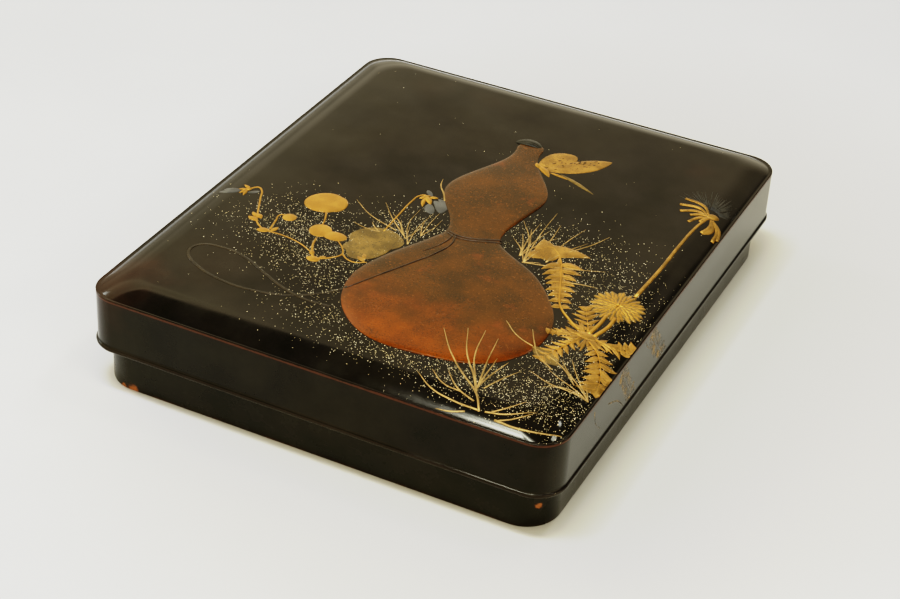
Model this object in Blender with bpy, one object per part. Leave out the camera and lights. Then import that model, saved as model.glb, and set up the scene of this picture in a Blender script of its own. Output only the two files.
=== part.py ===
"""Lacquer writing box: an open tray with walls, and a lift-off lid whose sides hang over it.

A standalone Blender 4.5 script in metres, +Z up. The box stands on Z = 0 with its middle on
the Z axis, its length along Y and its width along X. Both pieces are lofts through rounded
rectangles. A section says how far the rectangle stands inside the lid's wall face, how high
it is, and how round its corners are.
"""

from math import cos, pi, sin

import bmesh
import bpy

NAME = "lacquer_writing_box"

# Driving sizes, measured on the outside of the lid's walls.
WIDTH = 0.1995
LENGTH = 0.240
EDGE_HEIGHT = 0.0409
MOUTH_HEIGHT = 0.0182
LID_CORNER = 0.0125
CORNER_STEPS = 9

# The lid's top: a shoulder that rises from the edge, then a faint crown.
SHOULDER_WIDTH = 0.014
SHOULDER_RISE = 0.0045
SHOULDER_POWER = 2.2
SHOULDER_STEPS = 8
SHOULDER_CROWDING = 1.4
CROWN_WIDTH = 0.055
CROWN_RISE = 0.0006
CROWN_STEPS = 4
CROWN_CORNER = 0.020

# Half-round lips: one along the lid's top edge, one round its mouth.
EDGE_LIP = 0.0006
MOUTH_LIP_OUT = 0.0007
MOUTH_LIP_HIGH = 0.0018
LIP_STEPS = 4

# The lid's hidden side: a flat ledge that sits on the tray's rim, and a hollow ceiling.
LID_WALL = 0.0028
LEDGE_HEIGHT = 0.0381
LEDGE_WIDTH = 0.0068
CEILING_BOARD = 0.0036
CEILING_STEP = 0.0022
CEILING_CORNER = 0.006
CEILING_SHARES = (0.3, 1.0)

# The tray. It has play under the lid's walls, and a gap under the ledge it carries.
REST_GAP = 0.0003
TRAY_INSET = 0.0035
TRAY_WALL = 0.0032
TRAY_BOARD = 0.0036
TRAY_CORNER = 0.0145
TRAY_FOOT_ROUND = 0.0009
TRAY_COVE = 0.0020
ROUND_STEPS = 4

LID_COLOUR = (0.020, 0.013, 0.008, 1.0)
TRAY_COLOUR = (0.016, 0.013, 0.008, 1.0)


def clear_scene():
    """Remove every object of the start-up scene."""
    for thing in list(bpy.data.objects):
        bpy.data.objects.remove(thing, do_unlink=True)


def make_collection():
    """Link the collection that holds the box's pieces."""
    group = bpy.data.collections.new(NAME)
    bpy.context.scene.collection.children.link(group)
    return group


def make_lacquer(name, colour, roughness):
    """A lacquer finish: a dark coat over wood, smooth and without metal."""
    material = bpy.data.materials.new(name)
    material.use_nodes = True
    shader = material.node_tree.nodes["Principled BSDF"]
    shader.inputs["Base Color"].default_value = colour
    shader.inputs["Roughness"].default_value = roughness
    shader.inputs["Metallic"].default_value = 0.0
    return material


def rounded_rectangle(section):
    """The points of one section's outline, taken anticlockwise from above."""
    inset, height, corner = section
    half_x = WIDTH / 2 - inset - corner
    half_y = LENGTH / 2 - inset - corner
    centres = [(half_x, half_y), (-half_x, half_y), (-half_x, -half_y), (half_x, -half_y)]
    points = []
    for quarter, (x, y) in enumerate(centres):
        for step in range(CORNER_STEPS + 1):
            angle = (quarter + step / CORNER_STEPS) * pi / 2
            points.append((x + corner * cos(angle), y + corner * sin(angle), height))
    return points


def loft(name, sections, material, group):
    """Skin the sections one to the next, close both ends and make the node."""
    bm = bmesh.new()
    rings = [[bm.verts.new(point) for point in rounded_rectangle(section)] for section in sections]
    for near, far in zip(rings, rings[1:]):
        for i in range(len(near)):
            bm.faces.new((near[i - 1], near[i], far[i], far[i - 1]))
    bm.faces.new(rings[0])
    bm.faces.new(rings[-1])
    bmesh.ops.recalc_face_normals(bm, faces=bm.faces)
    mesh = bpy.data.meshes.new(name)
    bm.to_mesh(mesh)
    bm.free()
    mesh.materials.append(material)
    node = bpy.data.objects.new(name, mesh)
    group.objects.link(node)
    return node


def top_height(inset):
    """Height of the lid's outer face at a distance in from its wall face."""
    slope = max(0.0, 1 - inset / SHOULDER_WIDTH)
    swell = max(0.0, 1 - inset / CROWN_WIDTH)
    return EDGE_HEIGHT + SHOULDER_RISE * (1 - slope**SHOULDER_POWER) + CROWN_RISE * (1 - swell**2)


def half_round(centre_inset, centre_height, out, up, corner):
    """Sections of a half-round lip, from its top down to its foot."""
    sections = []
    for step in range(LIP_STEPS + 1):
        angle = pi / 2 - pi * step / LIP_STEPS
        inset = centre_inset - out * cos(angle)
        sections.append((inset, centre_height + up * sin(angle), corner - inset))
    return sections


def lid_top_sections():
    """Sections from the middle of the lid's top out to the foot of its edge lip."""
    sections = []
    for step in range(CROWN_STEPS):
        share = step / CROWN_STEPS
        inset = CROWN_WIDTH + (SHOULDER_WIDTH - CROWN_WIDTH) * share
        corner = CROWN_CORNER + (LID_CORNER - CROWN_CORNER) * share
        sections.append((inset, top_height(inset), corner))
    for step in range(SHOULDER_STEPS + 1):
        share = (1 - step / SHOULDER_STEPS) ** SHOULDER_CROWDING
        inset = 2 * EDGE_LIP + (SHOULDER_WIDTH - 2 * EDGE_LIP) * share
        sections.append((inset, top_height(inset), LID_CORNER))
    return sections


def lid_ceiling_sections():
    """Sections from the ledge's inner edge up and in over the hollow ceiling."""
    ledge_end = LID_WALL + LEDGE_WIDTH
    step_end = ledge_end + CEILING_STEP
    lift = top_height(step_end) - CEILING_BOARD - LEDGE_HEIGHT
    sections = [(ledge_end, LEDGE_HEIGHT, CEILING_CORNER)]
    for step in range(1, ROUND_STEPS + 1):
        angle = step / ROUND_STEPS * pi / 2
        inset = ledge_end + CEILING_STEP * (1 - cos(angle))
        sections.append((inset, LEDGE_HEIGHT + lift * sin(angle), CEILING_CORNER))
    for share in CEILING_SHARES:
        inset = step_end + (CROWN_WIDTH - step_end) * share
        sections.append((inset, top_height(inset) - CEILING_BOARD, CEILING_CORNER))
    return sections


def lid_sections():
    """The lid's whole run: over the top, down the wall, round the mouth and up inside."""
    edge_lip = half_round(EDGE_LIP, top_height(2 * EDGE_LIP), EDGE_LIP, EDGE_LIP, LID_CORNER)
    edge_lip = edge_lip[:LIP_STEPS // 2 + 1]
    mouth_middle = MOUTH_HEIGHT + MOUTH_LIP_HIGH / 2
    mouth_lip = half_round(0.0, mouth_middle, MOUTH_LIP_OUT, MOUTH_LIP_HIGH / 2, LID_CORNER)
    inner_corner = LID_CORNER - LID_WALL
    inner_wall = [(LID_WALL, MOUTH_HEIGHT, inner_corner), (LID_WALL, LEDGE_HEIGHT, inner_corner)]
    return lid_top_sections() + edge_lip + mouth_lip + inner_wall + lid_ceiling_sections()


def tray_sections():
    """The tray's run: from the floor inside, over the rim and down to the underside."""
    inner = TRAY_INSET + TRAY_WALL
    inner_corner = TRAY_CORNER - TRAY_WALL
    rim = LEDGE_HEIGHT - REST_GAP
    sections = []
    for step in range(ROUND_STEPS + 1):
        angle = step / ROUND_STEPS * pi / 2
        inset = inner + TRAY_COVE * (1 - sin(angle))
        height = TRAY_BOARD + TRAY_COVE * (1 - cos(angle))
        sections.append((inset, height, inner_corner + inner - inset))
    sections.append((inner, rim, inner_corner))
    sections.append((TRAY_INSET, rim, TRAY_CORNER))
    for step in range(ROUND_STEPS + 1):
        angle = step / ROUND_STEPS * pi / 2
        inset = TRAY_INSET + TRAY_FOOT_ROUND * (1 - cos(angle))
        height = TRAY_FOOT_ROUND * (1 - sin(angle))
        sections.append((inset, height, TRAY_CORNER + TRAY_INSET - inset))
    return sections


def main():
    """Build the tray and the lid where it rests on it."""
    clear_scene()
    group = make_collection()
    tray_lacquer = make_lacquer("tray_lacquer", TRAY_COLOUR, 0.30)
    lid_lacquer = make_lacquer("lid_lacquer", LID_COLOUR, 0.22)
    loft("tray", tray_sections(), tray_lacquer, group)
    loft("lid", lid_sections(), lid_lacquer, group)


main()
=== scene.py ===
# %% [markdown]
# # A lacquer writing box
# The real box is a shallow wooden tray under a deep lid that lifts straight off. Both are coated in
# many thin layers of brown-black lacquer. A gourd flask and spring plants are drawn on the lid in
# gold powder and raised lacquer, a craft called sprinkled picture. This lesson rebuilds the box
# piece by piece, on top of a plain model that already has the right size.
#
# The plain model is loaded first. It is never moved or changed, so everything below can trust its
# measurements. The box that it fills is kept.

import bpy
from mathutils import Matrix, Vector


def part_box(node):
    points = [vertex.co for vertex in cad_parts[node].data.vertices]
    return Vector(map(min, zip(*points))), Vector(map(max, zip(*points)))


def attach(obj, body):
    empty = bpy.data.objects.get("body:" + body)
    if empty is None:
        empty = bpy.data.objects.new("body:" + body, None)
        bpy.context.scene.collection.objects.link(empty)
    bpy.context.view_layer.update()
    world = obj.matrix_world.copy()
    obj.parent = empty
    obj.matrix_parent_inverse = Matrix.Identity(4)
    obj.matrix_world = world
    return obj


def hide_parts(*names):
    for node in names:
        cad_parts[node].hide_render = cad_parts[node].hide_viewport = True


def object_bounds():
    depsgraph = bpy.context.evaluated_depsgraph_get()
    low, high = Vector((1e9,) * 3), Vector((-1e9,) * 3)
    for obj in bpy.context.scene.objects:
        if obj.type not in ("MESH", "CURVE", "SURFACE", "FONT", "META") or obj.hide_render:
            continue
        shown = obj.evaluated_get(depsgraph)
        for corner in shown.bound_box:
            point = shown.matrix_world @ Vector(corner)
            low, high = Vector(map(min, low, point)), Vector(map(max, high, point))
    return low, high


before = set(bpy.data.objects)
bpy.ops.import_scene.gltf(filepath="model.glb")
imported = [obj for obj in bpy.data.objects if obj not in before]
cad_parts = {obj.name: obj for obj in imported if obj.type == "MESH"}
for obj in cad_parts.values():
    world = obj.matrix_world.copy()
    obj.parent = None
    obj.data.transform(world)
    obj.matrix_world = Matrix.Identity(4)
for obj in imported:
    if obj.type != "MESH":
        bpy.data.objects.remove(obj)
plain_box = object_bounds()
print("plain model:", sorted(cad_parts), "from", plain_box[0][:], "to", plain_box[1][:])

# %% [markdown]
# ## Tools for the lesson
# Blender keeps a mesh that is being modelled in a `bmesh`, and its operators (`bmesh.ops`) do what
# the tools of Edit Mode do. A tree of the lid's faces answers one question very fast: where does a
# ray meet the surface? All chance in this lesson comes from one seeded source, so that the box is
# the same each time it is made.

# %% Import the tools
from math import atan2, cos, exp, pi, radians, sin, sqrt, tau
from random import Random

import bmesh
import bpy
from mathutils import Matrix, Vector
from mathutils.bvhtree import BVHTree

MM = 0.001
SEED = 1867
chance = Random(SEED)
print("one millimetre is", MM, "Blender units")

# %% [markdown]
# ## The camera
# A camera needs a place and a direction. Here both come from how far round, how far up and how
# distant it stands, seen from a point just in front of the middle of the box. The long lens keeps
# the box's sides close to parallel. The camera leans a few degrees to one side.

# %% Set up the camera
AROUND = radians(24.60)
ABOVE = radians(33.30)
LEAN = radians(3.51)
DISTANCE = 0.83505
LENS = 82.17
AIM = Vector((0.00983, -0.0215, 0.02))

back = Vector((sin(AROUND) * cos(ABOVE), -cos(AROUND) * cos(ABOVE), sin(ABOVE)))
right = Vector((cos(AROUND), sin(AROUND), 0.0))
up = back.cross(right)
turn = Matrix((right, up, back)).transposed().to_4x4() @ Matrix.Rotation(LEAN, 4, "Z")

camera = bpy.data.objects.new("camera", bpy.data.cameras.new("camera"))
camera.data.lens = LENS
camera.data.sensor_width = 36.0
camera.data.clip_start = 0.05
camera.data.clip_end = 50.0
camera.matrix_world = Matrix.Translation(AIM + back * DISTANCE) @ turn
bpy.context.scene.collection.objects.link(camera)
bpy.context.scene.camera = camera
print("camera at", [round(value, 3) for value in camera.matrix_world.translation])

# %% [markdown]
# ## The tone curve
# Film and cameras don't record light in a straight line. Shadows are pressed down into black and
# the brightest tones are held back, so that pale paper doesn't burn out. Blender can put such a
# curve between the light and the picture. It changes no colour of the box itself.

# %% Set the tone curve
BRIGHTEST = 4.0
ALL_COLOURS = 3
TONES = {
    0.02: 0.0065, 0.04: 0.018, 0.08: 0.056, 0.14: 0.123, 0.25: 0.25,
    0.5: 0.50, 0.8: 0.68, 1.1: 0.73, 1.6: 0.82, 2.6: 0.95,
}

view = bpy.context.scene.view_settings
view.view_transform = "Standard"
view.use_curve_mapping = True
view.curve_mapping.white_level = (BRIGHTEST, BRIGHTEST, BRIGHTEST)
tone_curve = view.curve_mapping.curves[ALL_COLOURS]
for light_in, light_out in TONES.items():
    tone_curve.points.new(light_in / BRIGHTEST, light_out)
view.curve_mapping.update()
print("tone curve through", len(tone_curve.points), "points")

# %% [markdown]
# ## The room of the studio
# Glossy black lacquer is a dark mirror, so the studio is really what it shows. The room is pale
# near the horizon and dark higher up, which puts a pale haze on the flat of the lid and leaves the
# near shoulder black. A world background can hold such a room with no walls to build: its colour
# depends on the direction in which one looks, split here into how far right, back and up.

# %% Build the room
ROOM_BRIGHTNESS = 1.54
ROOM_SHADES = {
    0.00: (0.78, 0.70, 0.52, 1.0),
    0.12: (1.32, 1.18, 0.88, 1.0),
    0.30: (1.09, 0.965, 0.72, 1.0),
    0.44: (0.715, 0.625, 0.47, 1.0),
    0.54: (0.715, 0.625, 0.47, 1.0),
    0.61: (0.97, 0.845, 0.66, 1.0),
    0.655: (0.022, 0.019, 0.018, 1.0),
    1.00: (0.016, 0.015, 0.017, 1.0),
}
DARK_CORNER = (0.045, 0.037, 0.030, 1.0)

room = bpy.data.worlds.new("room")
bpy.context.scene.world = room
room.use_nodes = True
room_tree = room.node_tree
direction = room_tree.nodes.new("ShaderNodeTexCoord")
split = room_tree.nodes.new("ShaderNodeSeparateXYZ")
room_tree.links.new(direction.outputs["Generated"], split.inputs[0])
print("the room is lit from", len(ROOM_SHADES), "shades")

# %% [markdown]
# ## The lights
# Eight soft rectangles hang in the room. The wide one overhead lights the paper. Two smaller ones
# just under it draw the white line on the near shoulder, and two far behind make the glints at the
# near corner. One in front lifts the near walls, and a small one stands at each side. A mirror
# shows a lamp only from one place, so each hangs where the line of sight goes on after the lacquer.
# Each is listed as its place, its aim, its width and depth, its power and its colour.


# %% Hang the lights
LIGHTS = {
    "light_overhead": ((0.13, -0.24, 1.30), (0.13, -0.24, 0.0), (0.94, 0.24), 7.4, (0.95, 0.97, 1.0)),
    "light_bright": ((-0.09, -0.23, 1.27), (-0.09, -0.23, 0.0), (0.50, 0.09), 7.0, (0.92, 0.95, 1.0)),
    "light_core": ((-0.295, -0.335, 1.24), (-0.295, -0.335, 0.0), (0.09, 0.10), 2.7, (0.92, 0.93, 1.0)),
    "light_corner": ((0.43, 0.37, 1.30), (0.09, -0.11, 0.04), (0.12, 0.16), 1.8, (0.92, 0.95, 1.0)),
    "light_window": ((0.39, 0.91, 1.30), (0.09, -0.11, 0.04), (0.12, 0.12), 1.4, (0.92, 0.95, 1.0)),
    "light_front": ((0.35, -1.30, 1.05), (0.0, -0.10, 0.0), (0.90, 0.60), 6.4, (1.0, 0.95, 0.83)),
    "light_left": ((-1.15, 0.10, 0.80), (0.0, 0.0, 0.0), (0.24, 0.24), 3.0, (0.80, 0.91, 1.0)),
    "light_right": ((1.20, -0.55, 0.85), (0.05, 0.0, 0.03), (0.16, 0.30), 1.8, (1.0, 0.97, 0.88)),
}


def hang_light(name, place, aim, size, watts, colour):
    """A soft rectangular light at a place, facing a point. Its width runs left to right."""
    lamp = bpy.data.lights.new(name, "AREA")
    lamp.shape = "RECTANGLE"
    lamp.size, lamp.size_y = size
    lamp.energy = watts
    lamp.color = colour
    light = bpy.data.objects.new(name, lamp)
    out = (Vector(place) - Vector(aim)).normalized()
    across = Vector((0.0, 1.0, 0.0)).cross(out).normalized()
    facing = Matrix((across, out.cross(across), out)).transposed().to_4x4()
    light.matrix_world = Matrix.Translation(place) @ facing
    bpy.context.scene.collection.objects.link(light)


for light_name, (spot, aim, size, watts, colour) in LIGHTS.items():
    hang_light(light_name, spot, aim, size, watts, colour)
print("lights hung:", len(LIGHTS))

# %% [markdown]
# ## Shading helpers
# A material in Blender is a small network of nodes. These helpers add a node, or place a node group
# and set its named inputs, so that each material below reads as a short list of what it is made of.


# %% Helpers for node networks
# The Mix node has several sockets of one name, so its colours are found by number.
FIRST_COLOUR, SECOND_COLOUR, MIXED_COLOUR = 6, 7, 2


def add_node(tree, kind, inputs=None, **settings):
    """Add a node, then set its options and the values or links of its inputs."""
    node = tree.nodes.new(kind)
    for key, value in settings.items():
        setattr(node, key, value)
    for key, value in (inputs or {}).items():
        feed(tree, node.inputs[key], value)
    return node


def feed(tree, socket, value):
    """Link a socket to another node's output, or set its own value."""
    if isinstance(value, bpy.types.NodeSocket):
        tree.links.new(value, socket)
    else:
        socket.default_value = value


def new_group(name, inputs, outputs):
    """Start a node group with named sockets, and return its tree, inputs and outputs."""
    tree = bpy.data.node_groups.new(name, "ShaderNodeTree")
    for socket_name, kind in inputs.items():
        tree.interface.new_socket(socket_name, in_out="INPUT", socket_type="NodeSocket" + kind)
    for socket_name, kind in outputs.items():
        tree.interface.new_socket(socket_name, in_out="OUTPUT", socket_type="NodeSocket" + kind)
    entry = tree.nodes.new("NodeGroupInput")
    leave = tree.nodes.new("NodeGroupOutput")
    print("group", name, "takes", ", ".join(inputs))
    return tree, entry.outputs, leave.inputs


def place_group(tree, name, **inputs):
    """Place a group in a material. An underscore in an input's name stands for a space."""
    node = add_node(tree, "ShaderNodeGroup", node_tree=bpy.data.node_groups[name])
    for key, value in inputs.items():
        feed(tree, node.inputs[key.replace("_", " ")], value)
    return node.outputs


def mix_colours(tree, share, first, second):
    """Blend two colours by a share between 0 and 1."""
    node = add_node(tree, "ShaderNodeMix", data_type="RGBA")
    feed(tree, node.inputs["Factor"], share)
    feed(tree, node.inputs[FIRST_COLOUR], first)
    feed(tree, node.inputs[SECOND_COLOUR], second)
    return node.outputs[MIXED_COLOUR]


def spread(tree, value, low, high, new_low=0.0, new_high=1.0, smooth=False):
    """Stretch the part of a value between low and high over a new range."""
    node = add_node(tree, "ShaderNodeMapRange", clamp=True)
    node.interpolation_type = "SMOOTHSTEP" if smooth else "LINEAR"
    for socket, number in zip(node.inputs[:5], (value, low, high, new_low, new_high)):
        feed(tree, socket, number)
    return node.outputs[0]


def combine(tree, how, first, second):
    """One step of arithmetic on two values."""
    node = add_node(tree, "ShaderNodeMath", operation=how)
    feed(tree, node.inputs[0], first)
    feed(tree, node.inputs[1], second)
    return node.outputs[0]


def times(tree, first, second):
    """Two values multiplied."""
    return combine(tree, "MULTIPLY", first, second)


def plus(tree, first, second):
    """Two values added."""
    return combine(tree, "ADD", first, second)


def noise(tree, place, scale, detail=4.0, roughness=0.55):
    """Cloudy noise at a scale given in cells per metre."""
    node = add_node(tree, "ShaderNodeTexNoise", {"Vector": place, "Scale": scale})
    node.inputs["Detail"].default_value = detail
    node.inputs["Roughness"].default_value = roughness
    return node.outputs["Fac"]


print("node helpers ready")

# %% [markdown]
# ## The shades of the room
# A colour ramp gives the shade for a height. The height is tilted down towards the left, so the
# dark part of the room starts lower there and crosses the lid's corner on a slant. The far corner
# on the right is dark, and a patch high on the left glows like a window. Each range below says
# from where to where in the room it works, and then the values at its two ends, if not 0 and 1.

# %% Shade the room
TILT_START = -0.24
TILT = 0.55
LIFT = 0.17
LEFT_STEP = (-0.41, -0.46, 0.0, -0.04)
FAR_RIGHT = (0.28, 0.345)
SLIGHTLY_RIGHT = (-0.15, 0.05, 0.0, 0.30)
BEHIND = (0.15, 0.45)
FAR_LEFT = (-0.42, -0.46)
HIGH_UP = (0.52, 0.58, 0.03, 0.40)
HALF_LEFT = (-0.385, -0.43)
AT_THE_TOP = (0.565, 0.585, 0.0, 0.75)
DIM_END = (-0.50, -0.60, 1.0, 0.72)

to_right, to_back, to_top = (split.outputs[axis] for axis in "XYZ")
leftward = combine(room_tree, "MINIMUM", to_right, TILT_START)
tilted = plus(room_tree, times(room_tree, leftward, TILT), LIFT)
lowered = plus(room_tree, tilted, spread(room_tree, to_right, *LEFT_STEP))
height_seen = plus(room_tree, lowered, to_top)
shades = add_node(room_tree, "ShaderNodeValToRGB", {"Fac": height_seen})
for position, shade in ROOM_SHADES.items():
    if position == 0.0:
        shades.color_ramp.elements[0].color = shade
    elif position == 1.0:
        shades.color_ramp.elements[-1].color = shade
    else:
        shades.color_ramp.elements.new(position).color = shade
far_right = spread(room_tree, to_right, *FAR_RIGHT, smooth=True)
slightly_right = spread(room_tree, to_right, *SLIGHTLY_RIGHT)
on_the_right = combine(room_tree, "MAXIMUM", far_right, slightly_right)
behind = spread(room_tree, to_back, *BEHIND, smooth=True)
in_corner = times(room_tree, on_the_right, behind)
room_colour = mix_colours(room_tree, in_corner, shades.outputs["Color"], DARK_CORNER)
far_left = spread(room_tree, to_right, *FAR_LEFT, smooth=True)
high_up = spread(room_tree, to_top, *HIGH_UP, smooth=True)
half_left = spread(room_tree, to_right, *HALF_LEFT, smooth=True)
at_the_top = spread(room_tree, to_top, *AT_THE_TOP, smooth=True)
dim_end = spread(room_tree, to_right, *DIM_END, smooth=True)
glow_there = times(room_tree, far_left, high_up)
glow_above = times(room_tree, half_left, at_the_top)
window_glow = plus(room_tree, plus(room_tree, glow_there, glow_above), dim_end)
glowing = add_node(
    room_tree, "ShaderNodeVectorMath", {0: room_colour, "Scale": window_glow}, operation="SCALE",
)
room_light = room_tree.nodes["Background"]
feed(room_tree, room_light.inputs["Color"], glowing.outputs[0])
room_light.inputs["Strength"].default_value = ROOM_BRIGHTNESS
print("room shades:", len(shades.color_ramp.elements))

# %% [markdown]
# ## Effects that several finishes share
# Old lacquer is never one flat colour. It is cloudy, its edges are rubbed through to the red-brown
# layers below, dust and fine scratches make it hazy, and polishing leaves the surface slightly
# wavy. Each effect is a node group, built once here, and every finish uses it with its own values.


# %% Group: cloudy colour
GRAINS_PER_CLOUD = 38.0


def build_cloudy_colour():
    """Two colours in soft clouds, broken by a fine grain."""
    tree, given, result = new_group(
        "cloudy_colour",
        {"Place": "Vector", "Deep": "Color", "Pale": "Color", "Cloud Size": "Float", "Grain": "Float"},
        {"Color": "Color"},
    )
    clouds = noise(tree, given["Place"], given["Cloud Size"], 5.0)
    soft = spread(tree, clouds, 0.34, 0.68, smooth=True)
    fine_size = times(tree, given["Cloud Size"], GRAINS_PER_CLOUD)
    grains = spread(tree, noise(tree, given["Place"], fine_size, 2.0), 0.3, 0.7, -0.5, 0.5)
    shift = times(tree, grains, given["Grain"])
    share = plus(tree, soft, shift)
    share.node.use_clamp = True
    feed(tree, result["Color"], mix_colours(tree, share, given["Deep"], given["Pale"]))


def cloudy(tree, place, deep, pale, cloud_size, grain):
    """Place the group in a material, and return its colour."""
    return place_group(
        tree, "cloudy_colour", Place=place, Deep=deep, Pale=pale, Cloud_Size=cloud_size, Grain=grain,
    )["Color"]


build_cloudy_colour()


# %% [markdown]
# A Voronoi texture cuts space into cells. Each cell has its own colour by chance, which says here
# how large the speck in it is, and so some cells have none. The same group serves the dark grains
# in the gold and the specks in the grey powders.


# %% Group: specks
def build_specks():
    """Small round specks of chance size, as a mask."""
    tree, given, result = new_group(
        "specks",
        {"Place": "Vector", "Speck Size": "Float", "Amount": "Float"},
        {"Mask": "Float"},
    )
    cells = add_node(tree, "ShaderNodeTexVoronoi", {"Vector": given["Place"], "Scale": given["Speck Size"]})
    chosen = add_node(tree, "ShaderNodeSeparateColor", {0: cells.outputs["Color"]}).outputs[0]
    reach = times(tree, chosen, given["Amount"])
    near = combine(tree, "SUBTRACT", reach, cells.outputs["Distance"])
    feed(tree, result["Mask"], spread(tree, near, 0.0, 0.08))


build_specks()


# %% [markdown]
# Hands rub a box where it stands proud. The mesh says where its edges are, and two sizes of noise
# break that value up, so the bare places are ragged and come and go along an edge.


# %% Group: rubbed edge
def build_rubbed_edge():
    """Where hands have rubbed an edge through, from the edge value painted on the mesh."""
    tree, given, result = new_group(
        "rubbed_edge",
        {"Place": "Vector", "Edge": "Float", "Patch Size": "Float", "Amount": "Float"},
        {"Mask": "Float"},
    )
    patches = noise(tree, given["Place"], given["Patch Size"], 6.0, 0.65)
    wide = noise(tree, given["Place"], times(tree, given["Patch Size"], 0.12), 2.0)
    both = plus(tree, patches, times(tree, wide, 0.9))
    reach = plus(tree, both, given["Amount"])
    worn = spread(tree, times(tree, reach, given["Edge"]), 0.80, 1.05)
    feed(tree, result["Mask"], worn)


build_rubbed_edge()


# %% [markdown]
# Gloss that is the same all over looks like plastic. Smudges in soft patches and fine scratches
# in one direction make it uneven. The scratches are noise, squeezed to threads by a Mapping node.


# %% Group: hazy gloss
SCRATCH_SLANT = radians(28.0)
SCRATCH_STRETCH = (0.035, 1.0, 1.0)
SCRATCH_SIZE = 5200.0
SCRATCH_SHARE = 0.5


def build_hazy_gloss():
    """Roughness of a polished coat: smudged, dusty in patches, with fine scratches."""
    tree, given, result = new_group(
        "hazy_gloss",
        {"Place": "Vector", "Polish": "Float", "Dullness": "Float", "Smudge Size": "Float"},
        {"Roughness": "Float", "Dust": "Float"},
    )
    smudges = spread(tree, noise(tree, given["Place"], given["Smudge Size"], 6.0, 0.62), 0.35, 0.75)
    stretch = add_node(tree, "ShaderNodeMapping", {"Vector": given["Place"]})
    stretch.inputs["Rotation"].default_value = (0.0, 0.0, SCRATCH_SLANT)
    stretch.inputs["Scale"].default_value = SCRATCH_STRETCH
    scratch_noise = noise(tree, stretch.outputs[0], SCRATCH_SIZE, 2.0)
    scratches = spread(tree, scratch_noise, 0.66, 0.74)
    dull = plus(tree, smudges, times(tree, scratches, SCRATCH_SHARE))
    extra = times(tree, dull, given["Dullness"])
    feed(tree, result["Roughness"], plus(tree, given["Polish"], extra))
    feed(tree, result["Dust"], dull)


build_hazy_gloss()


# %% [markdown]
# Lacquer is ground flat and polished by hand, so its surface is never quite true. Long low waves
# bend the reflections a little, and a faint grain under them keeps powder and wood from looking
# cast. This group gives a height, and a Bump node in the material turns it into shading.


# %% Group: hand polish
WAVE_SIZE = 28.0


def build_hand_polish():
    """Height of a hand-polished surface: long low waves under a faint grain."""
    tree, given, result = new_group(
        "hand_polish",
        {"Place": "Vector", "Wave": "Float", "Grain": "Float", "Grain Size": "Float"},
        {"Height": "Float"},
    )
    waves = times(tree, noise(tree, given["Place"], WAVE_SIZE, 2.0), given["Wave"])
    grains = times(tree, noise(tree, given["Place"], given["Grain Size"], 3.0), given["Grain"])
    feed(tree, result["Height"], plus(tree, waves, grains))


build_hand_polish()
print("groups:", sorted(group.name for group in bpy.data.node_groups))

# %% [markdown]
# ## The paper on the floor
# The floor is a wide sheet of pale paper, larger than anything that the lacquer can mirror sharply.
# Close to the box, in a soft oval, the paper is painted darker and slightly yellow: a painted shadow of the
# box.


# %% Lay the floor
def start_finish(name):
    """A new material, with its network, its shader and the place on the object."""
    material = bpy.data.materials.new(name)
    material.use_nodes = True
    tree = material.node_tree
    shader = tree.nodes["Principled BSDF"]
    place = add_node(tree, "ShaderNodeTexCoord").outputs["Object"]
    return material, tree, shader, place


def set_shader(shader, **values):
    """Set the shader's own values. An underscore in a name stands for a space."""
    for name, value in values.items():
        shader.inputs[name.replace("_", " ")].default_value = value


def lift_surface(tree, shader, height):
    """Let a height value, in millimetres, raise and sink the shaded surface."""
    bump = add_node(tree, "ShaderNodeBump", {"Height": height})
    bump.inputs["Strength"].default_value = 1.0
    bump.inputs["Distance"].default_value = MM
    tree.links.new(bump.outputs["Normal"], shader.inputs["Normal"])


PAPER_DEEP = (0.765, 0.780, 0.770, 1.0)
PAPER_PALE = (0.79, 0.805, 0.795, 1.0)
# Painted shadow: the darker, warmer paper colour used in the oval beside the box.
PAINTED_SHADOW_COLOUR = (0.665, 0.651, 0.542, 1.0)
TO_PAINTED_SHADOW_MIDDLE = (-0.045, -0.035, 0.0)
PAINTED_SHADOW_SHRINK = (1 / 0.10, 1 / 0.13, 0.0)
PAINTED_SHADOW_FADE = (1.1, 2.3, 1.0, 0.0)
FLOOR_HALF = 4.0


def reckon(tree, how, *values):
    """One step of arithmetic on places."""
    return add_node(tree, "ShaderNodeVectorMath", dict(enumerate(values)), operation=how).outputs


paper, tree, shader, place = start_finish("floor_paper")
tone = cloudy(tree, place, PAPER_DEEP, PAPER_PALE, 9.0, 0.2)
# The soft oval round the box mixes the painted shadow colour into the paper.
from_middle = reckon(tree, "ADD", place, TO_PAINTED_SHADOW_MIDDLE)[0]
shrunk = reckon(tree, "MULTIPLY", from_middle, PAINTED_SHADOW_SHRINK)[0]
boxes_away = reckon(tree, "LENGTH", shrunk)["Value"]
painted_shadow_share = spread(tree, boxes_away, *PAINTED_SHADOW_FADE, smooth=True)
feed(tree, shader.inputs["Base Color"], mix_colours(tree, painted_shadow_share, tone, PAINTED_SHADOW_COLOUR))
set_shader(shader, Roughness=0.9, Specular_IOR_Level=0.1)

sheet = bmesh.new()
bmesh.ops.create_grid(sheet, x_segments=1, y_segments=1, size=FLOOR_HALF)
floor_mesh = bpy.data.meshes.new("floor")
sheet.to_mesh(floor_mesh)
sheet.free()
floor_mesh.materials.append(paper)
floor = bpy.data.objects.new("floor", floor_mesh)
bpy.context.scene.collection.objects.link(floor)
print("floor laid,", 2 * FLOOR_HALF, "metres square")

# %% [markdown]
# ## The lacquer of the lid and the tray
# The coat is brown rather than black: it is thin over the rubbed edges, and light shows a warm tone
# in it. The mesh carries an `edge` value, 1 along its lips and 0 elsewhere. The rubbed-edge group
# turns that into broken patches where the red-brown under-layer shows. A dielectric coat reflects
# little when seen from the front and a lot at a glancing angle, which the shader does by itself.


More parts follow.
